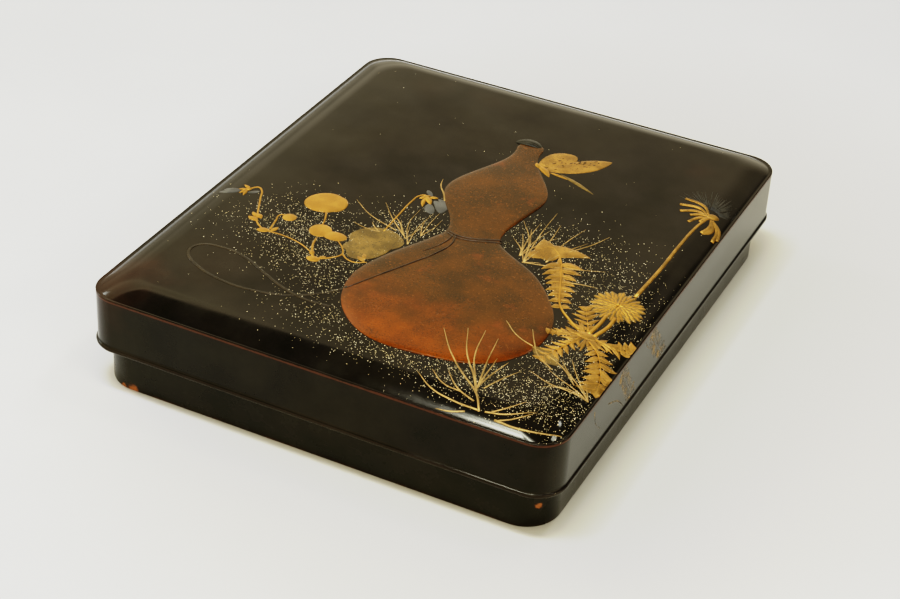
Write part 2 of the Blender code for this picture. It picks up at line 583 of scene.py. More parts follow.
# %% Mix the box lacquers
BARE_WOOD = (0.24, 0.080, 0.024, 1.0)
CHIP_STRENGTH = 2.4
EDGE_WARMTH = 0.13
WORN_ROUGHNESS = 0.25
WALL_X = plain_box[1][0]
SIDE_FADE = (7.0 * MM, 2.0 * MM)
TOP_FADE = (41.2 * MM, 40.2 * MM)


def thin_spot(tree, place, spot, reach, strength):
    """A ragged soft spot round a point, where the lacquer is thin or gone."""
    wide = reach * MM
    away = reckon(tree, "DISTANCE", place, tuple(value * MM for value in spot))["Value"]
    ragged = spread(tree, noise(tree, place, 1.1 / wide, 3.0), 0.3, 0.7, -0.3 * wide, 0.3 * wide)
    distance = plus(tree, away, ragged)
    faded = spread(tree, distance, 0.0, wide, strength, 0.0, smooth=True)
    return combine(tree, "MINIMUM", faded, 1.0)


def side_polish(tree, place, weight):
    """The two side walls have kept more of their clear top coat than the rest."""
    split = add_node(tree, "ShaderNodeSeparateXYZ", {0: place})
    from_middle = combine(tree, "ABSOLUTE", split.outputs["X"], 0.0)
    inner, outer = (WALL_X - distance for distance in SIDE_FADE)
    on_side = spread(tree, from_middle, inner, outer, 0.0, weight, smooth=True)
    below_top = spread(tree, split.outputs["Z"], *TOP_FADE)
    return times(tree, on_side, below_top)


def mix_box_lacquer(
    name, deep, pale, under, polish, dullness, rubbed, dust_colour, dust_share, clear_coat,
    thin_spots=(), chips=(),
):
    """A finish of old brown-black lacquer with rubbed edges and dusty haze."""
    material, tree, shader, place = start_finish(name)
    edge = add_node(tree, "ShaderNodeAttribute", attribute_name="edge").outputs["Fac"]
    body = cloudy(tree, place, deep, pale, 26.0, 0.35)
    worn = place_group(tree, "rubbed_edge", Place=place, Edge=edge, Patch_Size=420.0, Amount=rubbed)
    gloss = place_group(
        tree, "hazy_gloss", Place=place, Polish=polish, Dullness=dullness, Smudge_Size=42.0,
    )
    dusty = mix_colours(tree, times(tree, gloss["Dust"], dust_share), body, dust_colour)
    warm = mix_colours(tree, times(tree, edge, EDGE_WARMTH), dusty, under)
    for spot, reach, strength in thin_spots:
        warm = mix_colours(tree, thin_spot(tree, place, spot, reach, strength), warm, under)
    coloured = mix_colours(tree, worn["Mask"], warm, under)
    for spot, reach in chips:
        chipped = thin_spot(tree, place, spot, reach, CHIP_STRENGTH)
        coloured = mix_colours(tree, chipped, coloured, BARE_WOOD)
    feed(tree, shader.inputs["Base Color"], coloured)
    rough = plus(tree, gloss["Roughness"], times(tree, worn["Mask"], WORN_ROUGHNESS))
    feed(tree, shader.inputs["Roughness"], rough)
    waves = place_group(tree, "hand_polish", Place=place, Wave=0.05, Grain=0.0022, Grain_Size=2600.0)
    lift_surface(tree, shader, waves["Height"])
    feed(tree, shader.inputs["Coat Weight"], side_polish(tree, place, clear_coat))
    set_shader(
        shader, Coat_Roughness=0.16, Coat_IOR=1.5, Specular_IOR_Level=0.16,
        Specular_Tint=(1.0, 0.97, 0.74, 1.0), Sheen_Weight=0.07, Sheen_Roughness=0.30,
        Sheen_Tint=(1.0, 0.90, 0.70, 1.0),
    )
    return material


lid_lacquer = mix_box_lacquer(
    "lid_lacquer", deep=(0.0046, 0.0037, 0.0018, 1.0), pale=(0.0092, 0.0072, 0.0033, 1.0),
    under=(0.058, 0.0210, 0.0110, 1.0), polish=0.06, dullness=0.11, rubbed=0.23,
    dust_colour=(0.16, 0.135, 0.11, 1.0), dust_share=0.05, clear_coat=0.17,
    thin_spots=(
        ((-93.0, -106.0, 43.0), 25.0, 0.38), ((74.0, 88.0, 45.0), 9.0, 0.08),
        ((-60.0, 95.0, 45.0), 14.0, 0.05), ((-66.0, -78.0, 45.0), 24.0, 0.05),
        ((-30.0, 98.0, 45.0), 16.0, 0.05),
    ),
)
tray_lacquer = mix_box_lacquer(
    "tray_lacquer", deep=(0.0056, 0.0048, 0.0021, 1.0), pale=(0.0100, 0.0082, 0.0036, 1.0),
    under=(0.052, 0.019, 0.008, 1.0), polish=0.20, dullness=0.16, rubbed=0.02,
    dust_colour=(0.16, 0.140, 0.11, 1.0), dust_share=0.05, clear_coat=0.42,
    chips=(((91.8, -112.5, 10.0), 1.7), ((-80.5, -116.4, 0.7), 3.0), ((-85.0, -116.0, 0.4), 2.0)),
)
print("lacquers:", lid_lacquer.name, tray_lacquer.name)

# %% [markdown]
# ## How the wooden shells are shaped
# Both shells are rounded rectangles that change as they go up or down. A section is written as its
# distance in from the lid's wall, its height and the radius of its corners. The shell starts as one
# flat face. Its open rim is extruded again and again, and after each extrusion the four rounded
# corners are scaled and slid to the next section, just as one would do by hand in Edit Mode.

# %% Read the main sizes
BEAD_OUT = 0.7 * MM
lid_low, lid_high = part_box("lid")
half_width = lid_high.x - BEAD_OUT
half_length = lid_high.y - BEAD_OUT
print("lid walls stand", round(2 * half_width / MM, 1), "by", round(2 * half_length / MM, 1), "mm apart")


# %% Shell helpers
def only(kind, parts):
    """The parts of one kind, out of a mixed list of vertices, edges and faces."""
    return [part for part in parts if isinstance(part, kind)]


def corner_centre(section, side_x, side_y):
    """Centre of one rounded corner of a section."""
    inset, height, corner = section[:3]
    return Vector((side_x * (half_width - inset - corner), side_y * (half_length - inset - corner), height))


def start_shell(bm, section, corner_steps):
    """One flat face with rounded corners. Returns its rim of edges."""
    inset, height, corner = section[:3]
    bmesh.ops.create_grid(bm, x_segments=1, y_segments=1, size=1.0)
    bmesh.ops.scale(bm, vec=(half_width - inset, half_length - inset, 1.0), verts=bm.verts)
    bmesh.ops.translate(bm, vec=(0.0, 0.0, height), verts=bm.verts)
    bmesh.ops.bevel(
        bm, geom=bm.verts[:], offset=corner, offset_type="OFFSET", affect="VERTICES",
        segments=corner_steps, profile=0.5, material=-1,
    )
    return bm.edges[:]


def grow_shell(bm, rim, old, new, edge_layer):
    """Extrude the rim from one section to the next. Returns the new rim."""
    made = bmesh.ops.extrude_edge_only(bm, edges=rim)["geom"]
    verts = only(bmesh.types.BMVert, made)
    for side_x in (-1, 1):
        for side_y in (-1, 1):
            corner = [v for v in verts if v.co.x * side_x > 0 and v.co.y * side_y > 0]
            start = corner_centre(old, side_x, side_y)
            end = corner_centre(new, side_x, side_y)
            size = new[2] / old[2]
            bmesh.ops.scale(bm, vec=(size, size, 1.0), space=Matrix.Translation(-start), verts=corner)
            bmesh.ops.translate(bm, vec=end - start, verts=corner)
    for vert in verts:
        vert[edge_layer] = new[3]
    fresh = set(verts)
    return [edge for edge in only(bmesh.types.BMEdge, made) if fresh.issuperset(edge.verts)]


def build_shell(sections, sharp, corner_steps):
    """Grow a closed shell through its sections. The rims in sharp keep a hard edge."""
    bm = bmesh.new()
    edge_layer = bm.verts.layers.float.new("edge")
    rim = start_shell(bm, sections[0], corner_steps)
    for number, (old, new) in enumerate(zip(sections, sections[1:]), start=1):
        rim = grow_shell(bm, rim, old, new, edge_layer)
        for edge in rim:
            edge.smooth = number not in sharp
    bmesh.ops.edgeloop_fill(bm, edges=rim)
    bmesh.ops.recalc_face_normals(bm, faces=bm.faces)
    return bm


def finish_piece(bm, name, finish, slot, *replaced):
    """Turn a bmesh into a smooth piece of the box, with its finish and body. The slot is not used."""
    for face in bm.faces:
        face.smooth = True
    mesh = bpy.data.meshes.new(name)
    bm.to_mesh(mesh)
    bm.free()
    mesh.materials.append(finish)
    piece = bpy.data.objects.new(name, mesh)
    bpy.context.scene.collection.objects.link(piece)
    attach(piece, "root")
    if replaced:
        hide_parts(*replaced)
    print(name, "has", len(mesh.polygons), "faces")


print("a section is an inset, a height, a corner radius and an edge value")

# %% [markdown]
# ## The lid
# The lid's top swells very slightly, then rolls over a soft shoulder and stops at a thread-like lip
# along its edge. The wall drops from there to a small bead round the mouth. Inside, a flat ledge
# rests on the tray's rim, and the ceiling above it is hollowed. Every size is the plain model's,
# but the steps are much finer, because gloss shows each facet.

# %% Sizes of the lid
SHOULDER_WIDTH = 14.0 * MM
SHOULDER_RISE = 4.5 * MM
SHOULDER_POWER = 2.2
CROWN_WIDTH = 55.0 * MM
CROWN_RISE = 0.6 * MM
CROWN_CORNER = 20.0 * MM
EDGE_LIP = 0.6 * MM
LID_CORNER = 12.5 * MM
LID_WALL = 2.8 * MM
BEAD_HIGH = 1.8 * MM
LEDGE_HEIGHT = 38.1 * MM
LEDGE_WIDTH = 6.8 * MM
CEILING_BOARD = 3.6 * MM
CEILING_STEP = 2.2 * MM
CEILING_CORNER = 6.0 * MM
CEILING_SHARES = (0.15, 0.3, 0.6, 1.0)
EDGE_LIP_RISE = 0.3 * MM
ABOVE_BEAD = 2.2 * MM

# How finely each curve is stepped, and how the steps crowd towards the lid's edge.
CORNER_STEPS = 24
CROWN_STEPS = 12
SHOULDER_STEPS = 28
SHOULDER_CROWDING = 1.25
LIP_STEPS = 12
BEAD_STEPS = 10
ROUND_STEPS = 8
QUARTER_TURN = [step / ROUND_STEPS * pi / 2 for step in range(ROUND_STEPS + 1)]

# How far hands have rubbed each place. Below the lip, each depth in millimetres has its value.
LIP_RUBBED = 0.75
BEAD_RUBBED = 0.62
INSIDE_RUBBED = 0.3
RUBBED_BELOW_LIP = ((0.3, 1.0), (0.7, 0.95), (1.1, 0.4), (1.8, 0.15), (3.4, 0.0))

edge_height = lid_high.z - SHOULDER_RISE - CROWN_RISE
mouth_height = lid_low.z
print("the wall stands from", round(mouth_height / MM, 1), "to", round(edge_height / MM, 1), "mm")


# %% Sections of the lid
def top_height(inset):
    """Height of the lid's top at a distance in from its wall."""
    slope = max(0.0, 1 - inset / SHOULDER_WIDTH)
    swell = max(0.0, 1 - inset / CROWN_WIDTH)
    return edge_height + SHOULDER_RISE * (1 - slope**SHOULDER_POWER) + CROWN_RISE * (1 - swell**2)


def half_round(centre_inset, centre_height, out, up, corner, steps, rubbed):
    """Sections of a half-round lip, from its top down to its foot, most rubbed at its middle."""
    sections = []
    for step in range(steps + 1):
        angle = pi / 2 - pi * step / steps
        inset = centre_inset - out * cos(angle)
        sections.append((inset, centre_height + up * sin(angle), corner - inset, rubbed * cos(angle)))
    return sections


def lid_top_sections():
    """Sections from the crown out over the shoulder to the foot of the edge lip."""
    sections = []
    for step in range(CROWN_STEPS):
        share = step / CROWN_STEPS
        inset = CROWN_WIDTH + (SHOULDER_WIDTH - CROWN_WIDTH) * share
        corner = CROWN_CORNER + (LID_CORNER - CROWN_CORNER) * share
        sections.append((inset, top_height(inset), corner, 0.0))
    for step in range(SHOULDER_STEPS + 1):
        share = (1 - step / SHOULDER_STEPS) ** SHOULDER_CROWDING
        inset = 2 * EDGE_LIP + (SHOULDER_WIDTH - 2 * EDGE_LIP) * share
        sections.append((inset, top_height(inset), LID_CORNER, 0.0))
    lip_height = top_height(2 * EDGE_LIP)
    lip = half_round(EDGE_LIP, lip_height, EDGE_LIP, EDGE_LIP_RISE, LID_CORNER, LIP_STEPS, LIP_RUBBED)
    return sections + lip[:LIP_STEPS // 2 + 1]


def lid_wall_sections(lip_foot):
    """Sections down the wall and round the bead of the mouth."""
    sections = []
    for drop, rubbed in RUBBED_BELOW_LIP:
        sections.append((0.0, lip_foot - drop * MM, LID_CORNER, rubbed))
    middle = mouth_height + BEAD_HIGH / 2
    sections.append((0.0, middle + ABOVE_BEAD, LID_CORNER, 0.0))
    bead = half_round(0.0, middle, BEAD_OUT, BEAD_HIGH / 2, LID_CORNER, BEAD_STEPS, BEAD_RUBBED)
    return sections + bead


def lid_inner_sections():
    """Sections up the inner wall, along the ledge and in over the hollow ceiling."""
    inner_corner = LID_CORNER - LID_WALL
    ledge_end = LID_WALL + LEDGE_WIDTH
    step_end = ledge_end + CEILING_STEP
    lift = top_height(step_end) - CEILING_BOARD - LEDGE_HEIGHT
    sections = [
        (LID_WALL, mouth_height, inner_corner, INSIDE_RUBBED),
        (LID_WALL, LEDGE_HEIGHT, inner_corner, 0.0),
        (ledge_end, LEDGE_HEIGHT, CEILING_CORNER, INSIDE_RUBBED),
    ]
    for angle in QUARTER_TURN[1:]:
        inset = ledge_end + CEILING_STEP * (1 - cos(angle))
        sections.append((inset, LEDGE_HEIGHT + lift * sin(angle), CEILING_CORNER, 0.0))
    for share in CEILING_SHARES:
        inset = step_end + (CROWN_WIDTH - step_end) * share
        sections.append((inset, top_height(inset) - CEILING_BOARD, CEILING_CORNER, 0.0))
    return sections


print("the lid's top falls", round((lid_high.z - top_height(0.0)) / MM, 1), "mm from its middle to its edge")

# %% [markdown]
# Gloss is smooth over the top and round the lips, but the mouth and the ledge are cut square. So
# four rims of the run are marked sharp, and shading breaks there. A search tree of the finished
# faces is kept: the picture is draped on it later. The shell stands for the plain model's lid.

# %% Build the lid
top = lid_top_sections()
outside = top + lid_wall_sections(top[-1][1])
square_rims = range(len(outside) - 1, len(outside) + 3)
lid_shell = build_shell(outside + lid_inner_sections(), square_rims, CORNER_STEPS)
lid_skin = BVHTree.FromBMesh(lid_shell)
finish_piece(lid_shell, "lid_shell", lid_lacquer, "lid_lacquer", "lid")

# %% [markdown]
# ## The tray
# The tray is an open box with walls of true thickness. Its rim hides under the lid's ledge, and its
# lower wall shows below the lid's mouth, a few millimetres further in. The foot has a nearly sharp
# edge. The inside is empty and plainly lacquered, with a small cove where floor and wall meet.

# %% Build the tray
REST_GAP = 0.3 * MM
TRAY_INSET = 3.5 * MM
TRAY_WALL = 3.2 * MM
TRAY_BOARD = 3.6 * MM
TRAY_CORNER = 14.5 * MM
TRAY_FOOT = 0.9 * MM
TRAY_COVE = 2.0 * MM
BELOW_RIM = 1.5 * MM
ABOVE_FOOT = 2.6 * MM
UNDERSIDE_RING = 3.0 * MM
RIM_RUBBED = (0.8, 0.9)
FOOT_RUBBED = 0.85


def tray_sections():
    """The tray's run: from the floor inside, over the rim and down to the underside."""
    inner = TRAY_INSET + TRAY_WALL
    inner_corner = TRAY_CORNER - TRAY_WALL
    rim = LEDGE_HEIGHT - REST_GAP
    sections = []
    for angle in QUARTER_TURN:
        inset = inner + TRAY_COVE * (1 - sin(angle))
        height = TRAY_BOARD + TRAY_COVE * (1 - cos(angle))
        sections.append((inset, height, inner_corner + inner - inset, 0.0))
    sections.append((inner, rim, inner_corner, RIM_RUBBED[0]))
    sections.append((TRAY_INSET, rim, TRAY_CORNER, RIM_RUBBED[1]))
    sections.append((TRAY_INSET, rim - BELOW_RIM, TRAY_CORNER, 0.0))
    sections.append((TRAY_INSET, ABOVE_FOOT, TRAY_CORNER, 0.0))
    for angle in QUARTER_TURN:
        inset = TRAY_INSET + TRAY_FOOT * (1 - cos(angle))
        height = TRAY_FOOT * (1 - sin(angle))
        sections.append((inset, height, TRAY_CORNER + TRAY_INSET - inset, FOOT_RUBBED))
    sections.append((TRAY_INSET + UNDERSIDE_RING, 0.0, TRAY_CORNER - UNDERSIDE_RING, 0.0))
    return sections


square_rims = (ROUND_STEPS + 1, ROUND_STEPS + 2)
tray_shell = build_shell(tray_sections(), square_rims, CORNER_STEPS)
finish_piece(tray_shell, "tray_shell", tray_lacquer, "tray_lacquer", "tray")

# %% [markdown]
# ## From the flat to the lid
# The picture is modelled flat, in millimetres, like paper shapes on a table, with +Y away from the
# viewer and the middle of the lid at zero. Then each piece is draped: every vertex keeps its own
# small height and is lifted by the height of the lid under it. A ray dropped from above finds that
# height, so the gold follows the swell of the lid and rolls over its shoulder.


# %% Drape a flat piece
EDGE_MARGIN = 0.5 * MM
LAST_X = half_width - EDGE_MARGIN
LAST_Y = half_length - EDGE_MARGIN
ABOVE_ALL = 0.1
DOWN = Vector((0.0, 0.0, -1.0))


def add_part(bm, part):
    """Move a small bmesh into a larger one. Small ones are much quicker to work on."""
    parcel = bpy.data.meshes.new("parcel")
    part.to_mesh(parcel)
    part.free()
    bm.from_mesh(parcel)
    bpy.data.meshes.remove(parcel)


def height_below(x, y, skins):
    """Height of the highest surface under a point, in metres."""
    start = Vector((x, y, ABOVE_ALL))
    hits = [skin.ray_cast(start, DOWN)[0] for skin in skins]
    return max(hit.z for hit in hits if hit is not None)


def drape(bm, skins):
    """Shrink a flat piece from millimetres to metres and lay it on the surfaces below."""
    bmesh.ops.scale(bm, vec=(MM, MM, MM), verts=bm.verts)
    for vert in bm.verts:
        vert.co.x = max(-LAST_X, min(LAST_X, vert.co.x))
        vert.co.y = max(-LAST_Y, min(LAST_Y, vert.co.y))
        vert.co.z += height_below(vert.co.x, vert.co.y, skins)


print("the lid is", round(height_below(0.0, 0.0, [lid_skin]) / MM, 1), "mm high in the middle")

# %% [markdown]
# ## Finishes of the picture
# Gold powder is metal, but it is grainy: thousands of flakes tilt every way, so it glows softly and
# never mirrors. Its grain is a fine bump and a fine change of colour. The stopper and the violet
# petals are tin and silver powder gone grey. Each powder is listed as its deep and pale colours,
# the size of its grain, its polish, how metallic it is, and the colour and amount of its specks.


# %% Mix the gold and grey powders
def mix_powder(
    name, deep, pale, grain_size, polish, metal, speck, speck_amount,
    grain_height=0.02, gloss_level=0.4,
):
    """A finish of sprinkled metal powder."""
    material, tree, shader, place = start_finish(name)
    tone = cloudy(tree, place, deep, pale, 150.0, 1.1)
    specks = place_group(tree, "specks", Place=place, Speck_Size=1500.0, Amount=speck_amount)
    feed(tree, shader.inputs["Base Color"], mix_colours(tree, specks["Mask"], tone, speck))
    gloss = place_group(
        tree, "hazy_gloss", Place=place, Polish=polish, Dullness=0.12, Smudge_Size=300.0,
    )
    feed(tree, shader.inputs["Roughness"], gloss["Roughness"])
    feed(tree, shader.inputs["Metallic"], spread(tree, specks["Mask"], 0.0, 1.0, metal, metal * 0.4))
    grain = place_group(
        tree, "hand_polish", Place=place, Wave=0.02, Grain=grain_height, Grain_Size=grain_size,
    )
    lift_surface(tree, shader, grain["Height"])
    set_shader(shader, Specular_IOR_Level=gloss_level)
    return material


bright_gold = mix_powder(
    "bright_gold", (0.385, 0.200, 0.029, 1.0), (0.520, 0.282, 0.046, 1.0), 5200.0, 0.36, 0.75,
    (0.16, 0.075, 0.012, 1.0), 0.26,
)
leaf_gold = mix_powder(
    "leaf_gold", (0.235, 0.128, 0.024, 1.0), (0.47, 0.262, 0.052, 1.0), 4200.0, 0.40, 0.70,
    (0.08, 0.042, 0.010, 1.0), 0.36,
)
dull_gold = mix_powder(
    "dull_gold", (0.112, 0.070, 0.015, 1.0), (0.255, 0.160, 0.036, 1.0), 4200.0, 0.44, 0.45,
    (0.04, 0.026, 0.008, 1.0), 0.45,
)
flake_gold = mix_powder(
    "flake_gold", (0.86, 0.70, 0.34, 1.0), (0.98, 0.90, 0.62, 1.0), 5200.0, 0.30, 0.25,
    (0.50, 0.33, 0.10, 1.0), 0.16,
)
pewter = mix_powder(
    "pewter_powder", (0.012, 0.012, 0.008, 1.0), (0.034, 0.031, 0.019, 1.0), 5200.0, 0.36, 0.35,
    (0.014, 0.012, 0.010, 1.0), 0.40, 0.02, 0.22,
)
fluff_grey = mix_powder(
    "fluff_grey", (0.017, 0.016, 0.012, 1.0), (0.044, 0.041, 0.030, 1.0), 5200.0, 0.45, 0.0,
    (0.010, 0.009, 0.007, 1.0), 0.55, 0.02, 0.15,
)
silver_grey = mix_powder(
    "silver_grey", (0.058, 0.058, 0.048, 1.0), (0.135, 0.132, 0.108, 1.0), 5200.0, 0.42, 0.35,
    (0.05, 0.05, 0.045, 1.0), 0.34,
)
grass_gold = mix_powder(
    "grass_gold", (0.26, 0.165, 0.048, 1.0), (0.52, 0.345, 0.115, 1.0), 4200.0, 0.40, 0.60,
    (0.10, 0.06, 0.02, 1.0), 0.34,
)
powders = (bright_gold, leaf_gold, dull_gold, flake_gold, pewter, fluff_grey, silver_grey, grass_gold)
print("powders:", ", ".join(powder.name for powder in powders))

# %% [markdown]
# ## The gourd's lacquer
# The gourd is orange at its foot and browner above, with red patches, dark grain and a few light
# specks. Each is one step: a noise or a place on the gourd gives a share, and the share mixes one
# more colour in. The border between orange and brown lies across the gourd and wanders a little.


# %% Mix the gourd's lacquer
ORANGES = ((0.120, 0.0260, 0.0011, 1.0), (0.205, 0.0445, 0.0013, 1.0))
BROWNS = ((0.036, 0.0145, 0.0020, 1.0), (0.080, 0.0265, 0.0024, 1.0))
RED_PATCH = (0.170, 0.036, 0.005, 1.0)
DARK_GRAIN = (0.018, 0.011, 0.003, 1.0)
LIGHT_GRAIN = (0.21, 0.068, 0.012, 1.0)
BROWN_FROM = -0.097
BROWN_TO = -0.046
BORDER_SLANT = 0.12
BORDER_WANDER = 0.016


def mix_gourd_lacquer():
    """Raised orange lacquer, browner towards the neck, mottled and specked."""
    material, tree, shader, place = start_finish("gourd_lacquer")
    split = add_node(tree, "ShaderNodeSeparateXYZ", {0: place})
    clouds = noise(tree, place, 80.0, 4.0)
    wander = spread(tree, clouds, 0.25, 0.75, -BORDER_WANDER, BORDER_WANDER)
    across = times(tree, split.outputs["X"], BORDER_SLANT)
    along = plus(tree, plus(tree, split.outputs["Y"], across), wander)
    orange = cloudy(tree, place, *ORANGES, 75.0, 0.7)
    brown = cloudy(tree, place, *BROWNS, 60.0, 0.9)
    share = spread(tree, along, BROWN_FROM, BROWN_TO, smooth=True)
    tone = mix_colours(tree, share, orange, brown)
    red_patches = spread(tree, noise(tree, place, 95.0, 5.0, 0.6), 0.60, 0.72, 0.0, 0.45)
    tone = mix_colours(tree, red_patches, tone, RED_PATCH)
    thickly = spread(tree, noise(tree, place, 70.0, 3.0), 0.35, 0.65, 0.20, 0.85)
    dark_grain = spread(tree, noise(tree, place, 1500.0, 3.0, 0.65), 0.50, 0.66)
    tone = mix_colours(tree, times(tree, dark_grain, thickly), tone, DARK_GRAIN)
    light_grain = spread(tree, noise(tree, place, 1000.0, 2.0, 0.6), 0.60, 0.72, 0.0, 0.55)
    tone = mix_colours(tree, light_grain, tone, LIGHT_GRAIN)
    feed(tree, shader.inputs["Base Color"], tone)
    gloss = place_group(tree, "hazy_gloss", Place=place, Polish=0.17, Dullness=0.14, Smudge_Size=70.0)
    feed(tree, shader.inputs["Roughness"], gloss["Roughness"])
    relief = place_group(tree, "hand_polish", Place=place, Wave=0.06, Grain=0.008, Grain_Size=2600.0)
    lift_surface(tree, shader, relief["Height"])
    set_shader(
        shader, Specular_IOR_Level=0.22, Specular_Tint=(1.0, 0.82, 0.40, 1.0),
        Coat_Weight=0.12, Coat_Roughness=0.08,
    )
    return material


gourd_lacquer = mix_gourd_lacquer()
cord_brown = mix_powder(
    "cord_brown", (0.018, 0.011, 0.006, 1.0), (0.060, 0.034, 0.014, 1.0), 2600.0, 0.30, 0.0,
    (0.010, 0.006, 0.004, 1.0), 0.30, 0.01, 0.25,
)
faded_cord = mix_powder(
    "faded_cord", (0.014, 0.0105, 0.0046, 1.0), (0.032, 0.0230, 0.0100, 1.0), 2600.0, 0.20, 0.0,
    (0.006, 0.004, 0.003, 1.0), 0.40, 0.01, 0.19,
)
print("finishes:", gourd_lacquer.name, cord_brown.name, faded_cord.name)

# %% [markdown]
# ## The gourd
# A gourd flask is as round as if it were turned on a lathe, so its half outline is spun round its
# axis. Raised lacquer is only a millimetre high: the turned body is squashed almost flat, but
# unevenly, so that it keeps a steep rounded edge and a nearly flat top. The lower half is cut off.
# A real gourd grows a little crooked, which a sideways shift along the axis gives. Each point of
# the outline is listed as the way along the axis from the foot, and how far out it stands there.

# %% Turn and flatten the gourd
GOURD_FOOT = Vector((24.4, -97.0))
GOURD_NECK = Vector((3.0, 70.0))
GOURD_OUTLINE = (
    (0.0, 0.0), (0.3, 9.0), (1.2, 16.0), (3.5, 23.0), (7.0, 28.5), (12.0, 33.5), (20.0, 38.6), (29.0, 41.1),
    (38.0, 41.3), (46.0, 39.6), (54.0, 35.9), (62.0, 31.2), (68.0, 26.8), (73.0, 22.2), (77.0, 18.2),
    (81.0, 14.6), (84.5, 12.0), (88.0, 11.2), (92.0, 11.4), (98.0, 13.0), (105.0, 16.0), (113.0, 19.2),
    (121.0, 20.8), (128.0, 19.8), (135.0, 16.8), (142.0, 12.8), (149.0, 8.8), (155.0, 6.3), (161.0, 5.5),
    (165.5, 5.7), (168.0, 4.6), (168.3, 0.0),
)
GOURD_HEIGHT = 0.95
GOURD_EDGE = 0.42
GOURD_SIDES = 112
OUTLINE_STEPS = 5
SKIRT = 0.15
WAIST = 77.0
WAIST_SOFTNESS = 3.5
FOOT_SHIFT = 9.3
SHIFT_LOST_ALONG = 0.055
UPPER_BULB = 113.0
UPPER_SHIFT = 2.5
UPPER_REACH = 15.0
ORIGIN = (0.0, 0.0, 0.0)


def crooked(along):
    """How far the gourd's middle line wanders to the right of its axis."""
    lower_bulb = (FOOT_SHIFT - SHIFT_LOST_ALONG * along) / (1 + exp((along - WAIST) / WAIST_SOFTNESS))
    upper_bulb = UPPER_SHIFT * exp(-(((along - UPPER_BULB) / UPPER_REACH) ** 2))
    return lower_bulb - upper_bulb


def add_smooth_line(curve, points):
    """Add a smooth line through points (x, y, thickness) to a curve."""
    spline = curve.splines.new("BEZIER")
    spline.bezier_points.add(len(points) - 1)
    for knot, (x, y, thickness) in zip(spline.bezier_points, points):
        knot.co = (x, y, 0.0)
        knot.radius = thickness
        knot.handle_left_type = "AUTO"
        knot.handle_right_type = "AUTO"


def smooth_outline(points, steps):
    """More points on a smooth line through the given ones."""
    curve = bpy.data.curves.new("outline", "CURVE")
    curve.resolution_u = steps
    add_smooth_line(curve, [(x, y, 1.0) for x, y in points])
    return bpy.data.meshes.new_from_object(bpy.data.objects.new("outline", curve))


def build_gourd():
    """The whole flask, lying flat, in millimetres."""
    bm = bmesh.new()
    bm.from_mesh(smooth_outline(GOURD_OUTLINE, OUTLINE_STEPS))
    bmesh.ops.spin(
        bm, geom=bm.verts[:] + bm.edges[:], cent=ORIGIN, axis=(1.0, 0.0, 0.0), angle=tau,
        steps=GOURD_SIDES, use_merge=True,
    )
    bmesh.ops.remove_doubles(bm, verts=bm.verts, dist=0.0005)
    parts = bm.verts[:] + bm.edges[:] + bm.faces[:]
    bmesh.ops.bisect_plane(
        bm, geom=parts, plane_co=ORIGIN, plane_no=(0.0, 0.0, 1.0), clear_inner=True,
    )
    widest = max(vert.co.z for vert in bm.verts)
    for vert in bm.verts:
        vert.co.z = GOURD_HEIGHT * (max(0.0, vert.co.z) / widest) ** GOURD_EDGE
        vert.co.y -= crooked(vert.co.x)
    rim = [edge for edge in bm.edges if edge.is_boundary]
    skirt = bmesh.ops.extrude_edge_only(bm, edges=rim)["geom"]
    low = only(bmesh.types.BMVert, skirt)
    bmesh.ops.translate(bm, vec=(0.0, 0.0, -SKIRT), verts=low)
    bmesh.ops.edgeloop_fill(bm, edges=[edge for edge in bm.edges if edge.is_boundary])
    axis = GOURD_NECK - GOURD_FOOT
    heading = Matrix.Rotation(atan2(axis.y, axis.x), 3, "Z")
    bmesh.ops.rotate(bm, cent=ORIGIN, matrix=heading, verts=bm.verts)
    bmesh.ops.translate(bm, vec=(*GOURD_FOOT, 0.0), verts=bm.verts)
    bmesh.ops.recalc_face_normals(bm, faces=bm.faces)
    return bm


gourd = build_gourd()
drape(gourd, [lid_skin])
gourd_skin = BVHTree.FromBMesh(gourd)
print("open edges of the gourd:", sum(not edge.is_manifold for edge in gourd.edges))
finish_piece(gourd, "gourd", gourd_lacquer, "gourd_lacquer")

# %% [markdown]
# ## Two brush tools
# Nearly everything else in the picture is one of two marks. A petal is a small ball, stretched
# and drawn out to a point, with a flat base. It is listed as its root, its tip, its width and its
# height, then how far it bows and how pointed its two ends are. A stroke is a thin tube along a
# smooth curve, squashed to a low ridge, thick where the brush lands and thin where it lifts. It is
# listed as points, each with half the stroke's width there.


# %% Petal and stroke
PETAL_UNDERSIDE = 0.25


def add_petal(bm, root, tip, width, height, bow=0.0, tip_point=0.5, root_point=0.3, around=8, along=10):
    """A low petal from root to tip, bowed to its left, pointed by the two shares."""
    petal = bmesh.new()
    made = bmesh.ops.create_uvsphere(petal, u_segments=around, v_segments=along, radius=1.0)["verts"]
    bmesh.ops.rotate(petal, cent=ORIGIN, matrix=Matrix.Rotation(pi / 2, 3, "Y"), verts=made)
    length = (Vector(tip) - Vector(root)).length
    widest = (0.5 + root_point) / (1 + tip_point + root_point)
    full = 2 * sqrt(widest * (1 - widest)) * (1 - widest) ** tip_point * widest**root_point
    for vert in made:
        share = min(1.0, max(0.0, (vert.co.x + 1) / 2))
        slim = (1 - share) ** tip_point * share**root_point / full
        flat = 1.0 if vert.co.z > 0 else PETAL_UNDERSIDE
        side = vert.co.y * slim * width / 2 + bow * 4 * share * (1 - share)
        vert.co = (share * length, side, vert.co.z * slim**0.5 * height * flat)
    heading = atan2(tip[1] - root[1], tip[0] - root[0])
    bmesh.ops.rotate(petal, cent=ORIGIN, matrix=Matrix.Rotation(heading, 3, "Z"), verts=made)
    bmesh.ops.translate(petal, vec=(root[0], root[1], 0.0), verts=made)
    add_part(bm, petal)


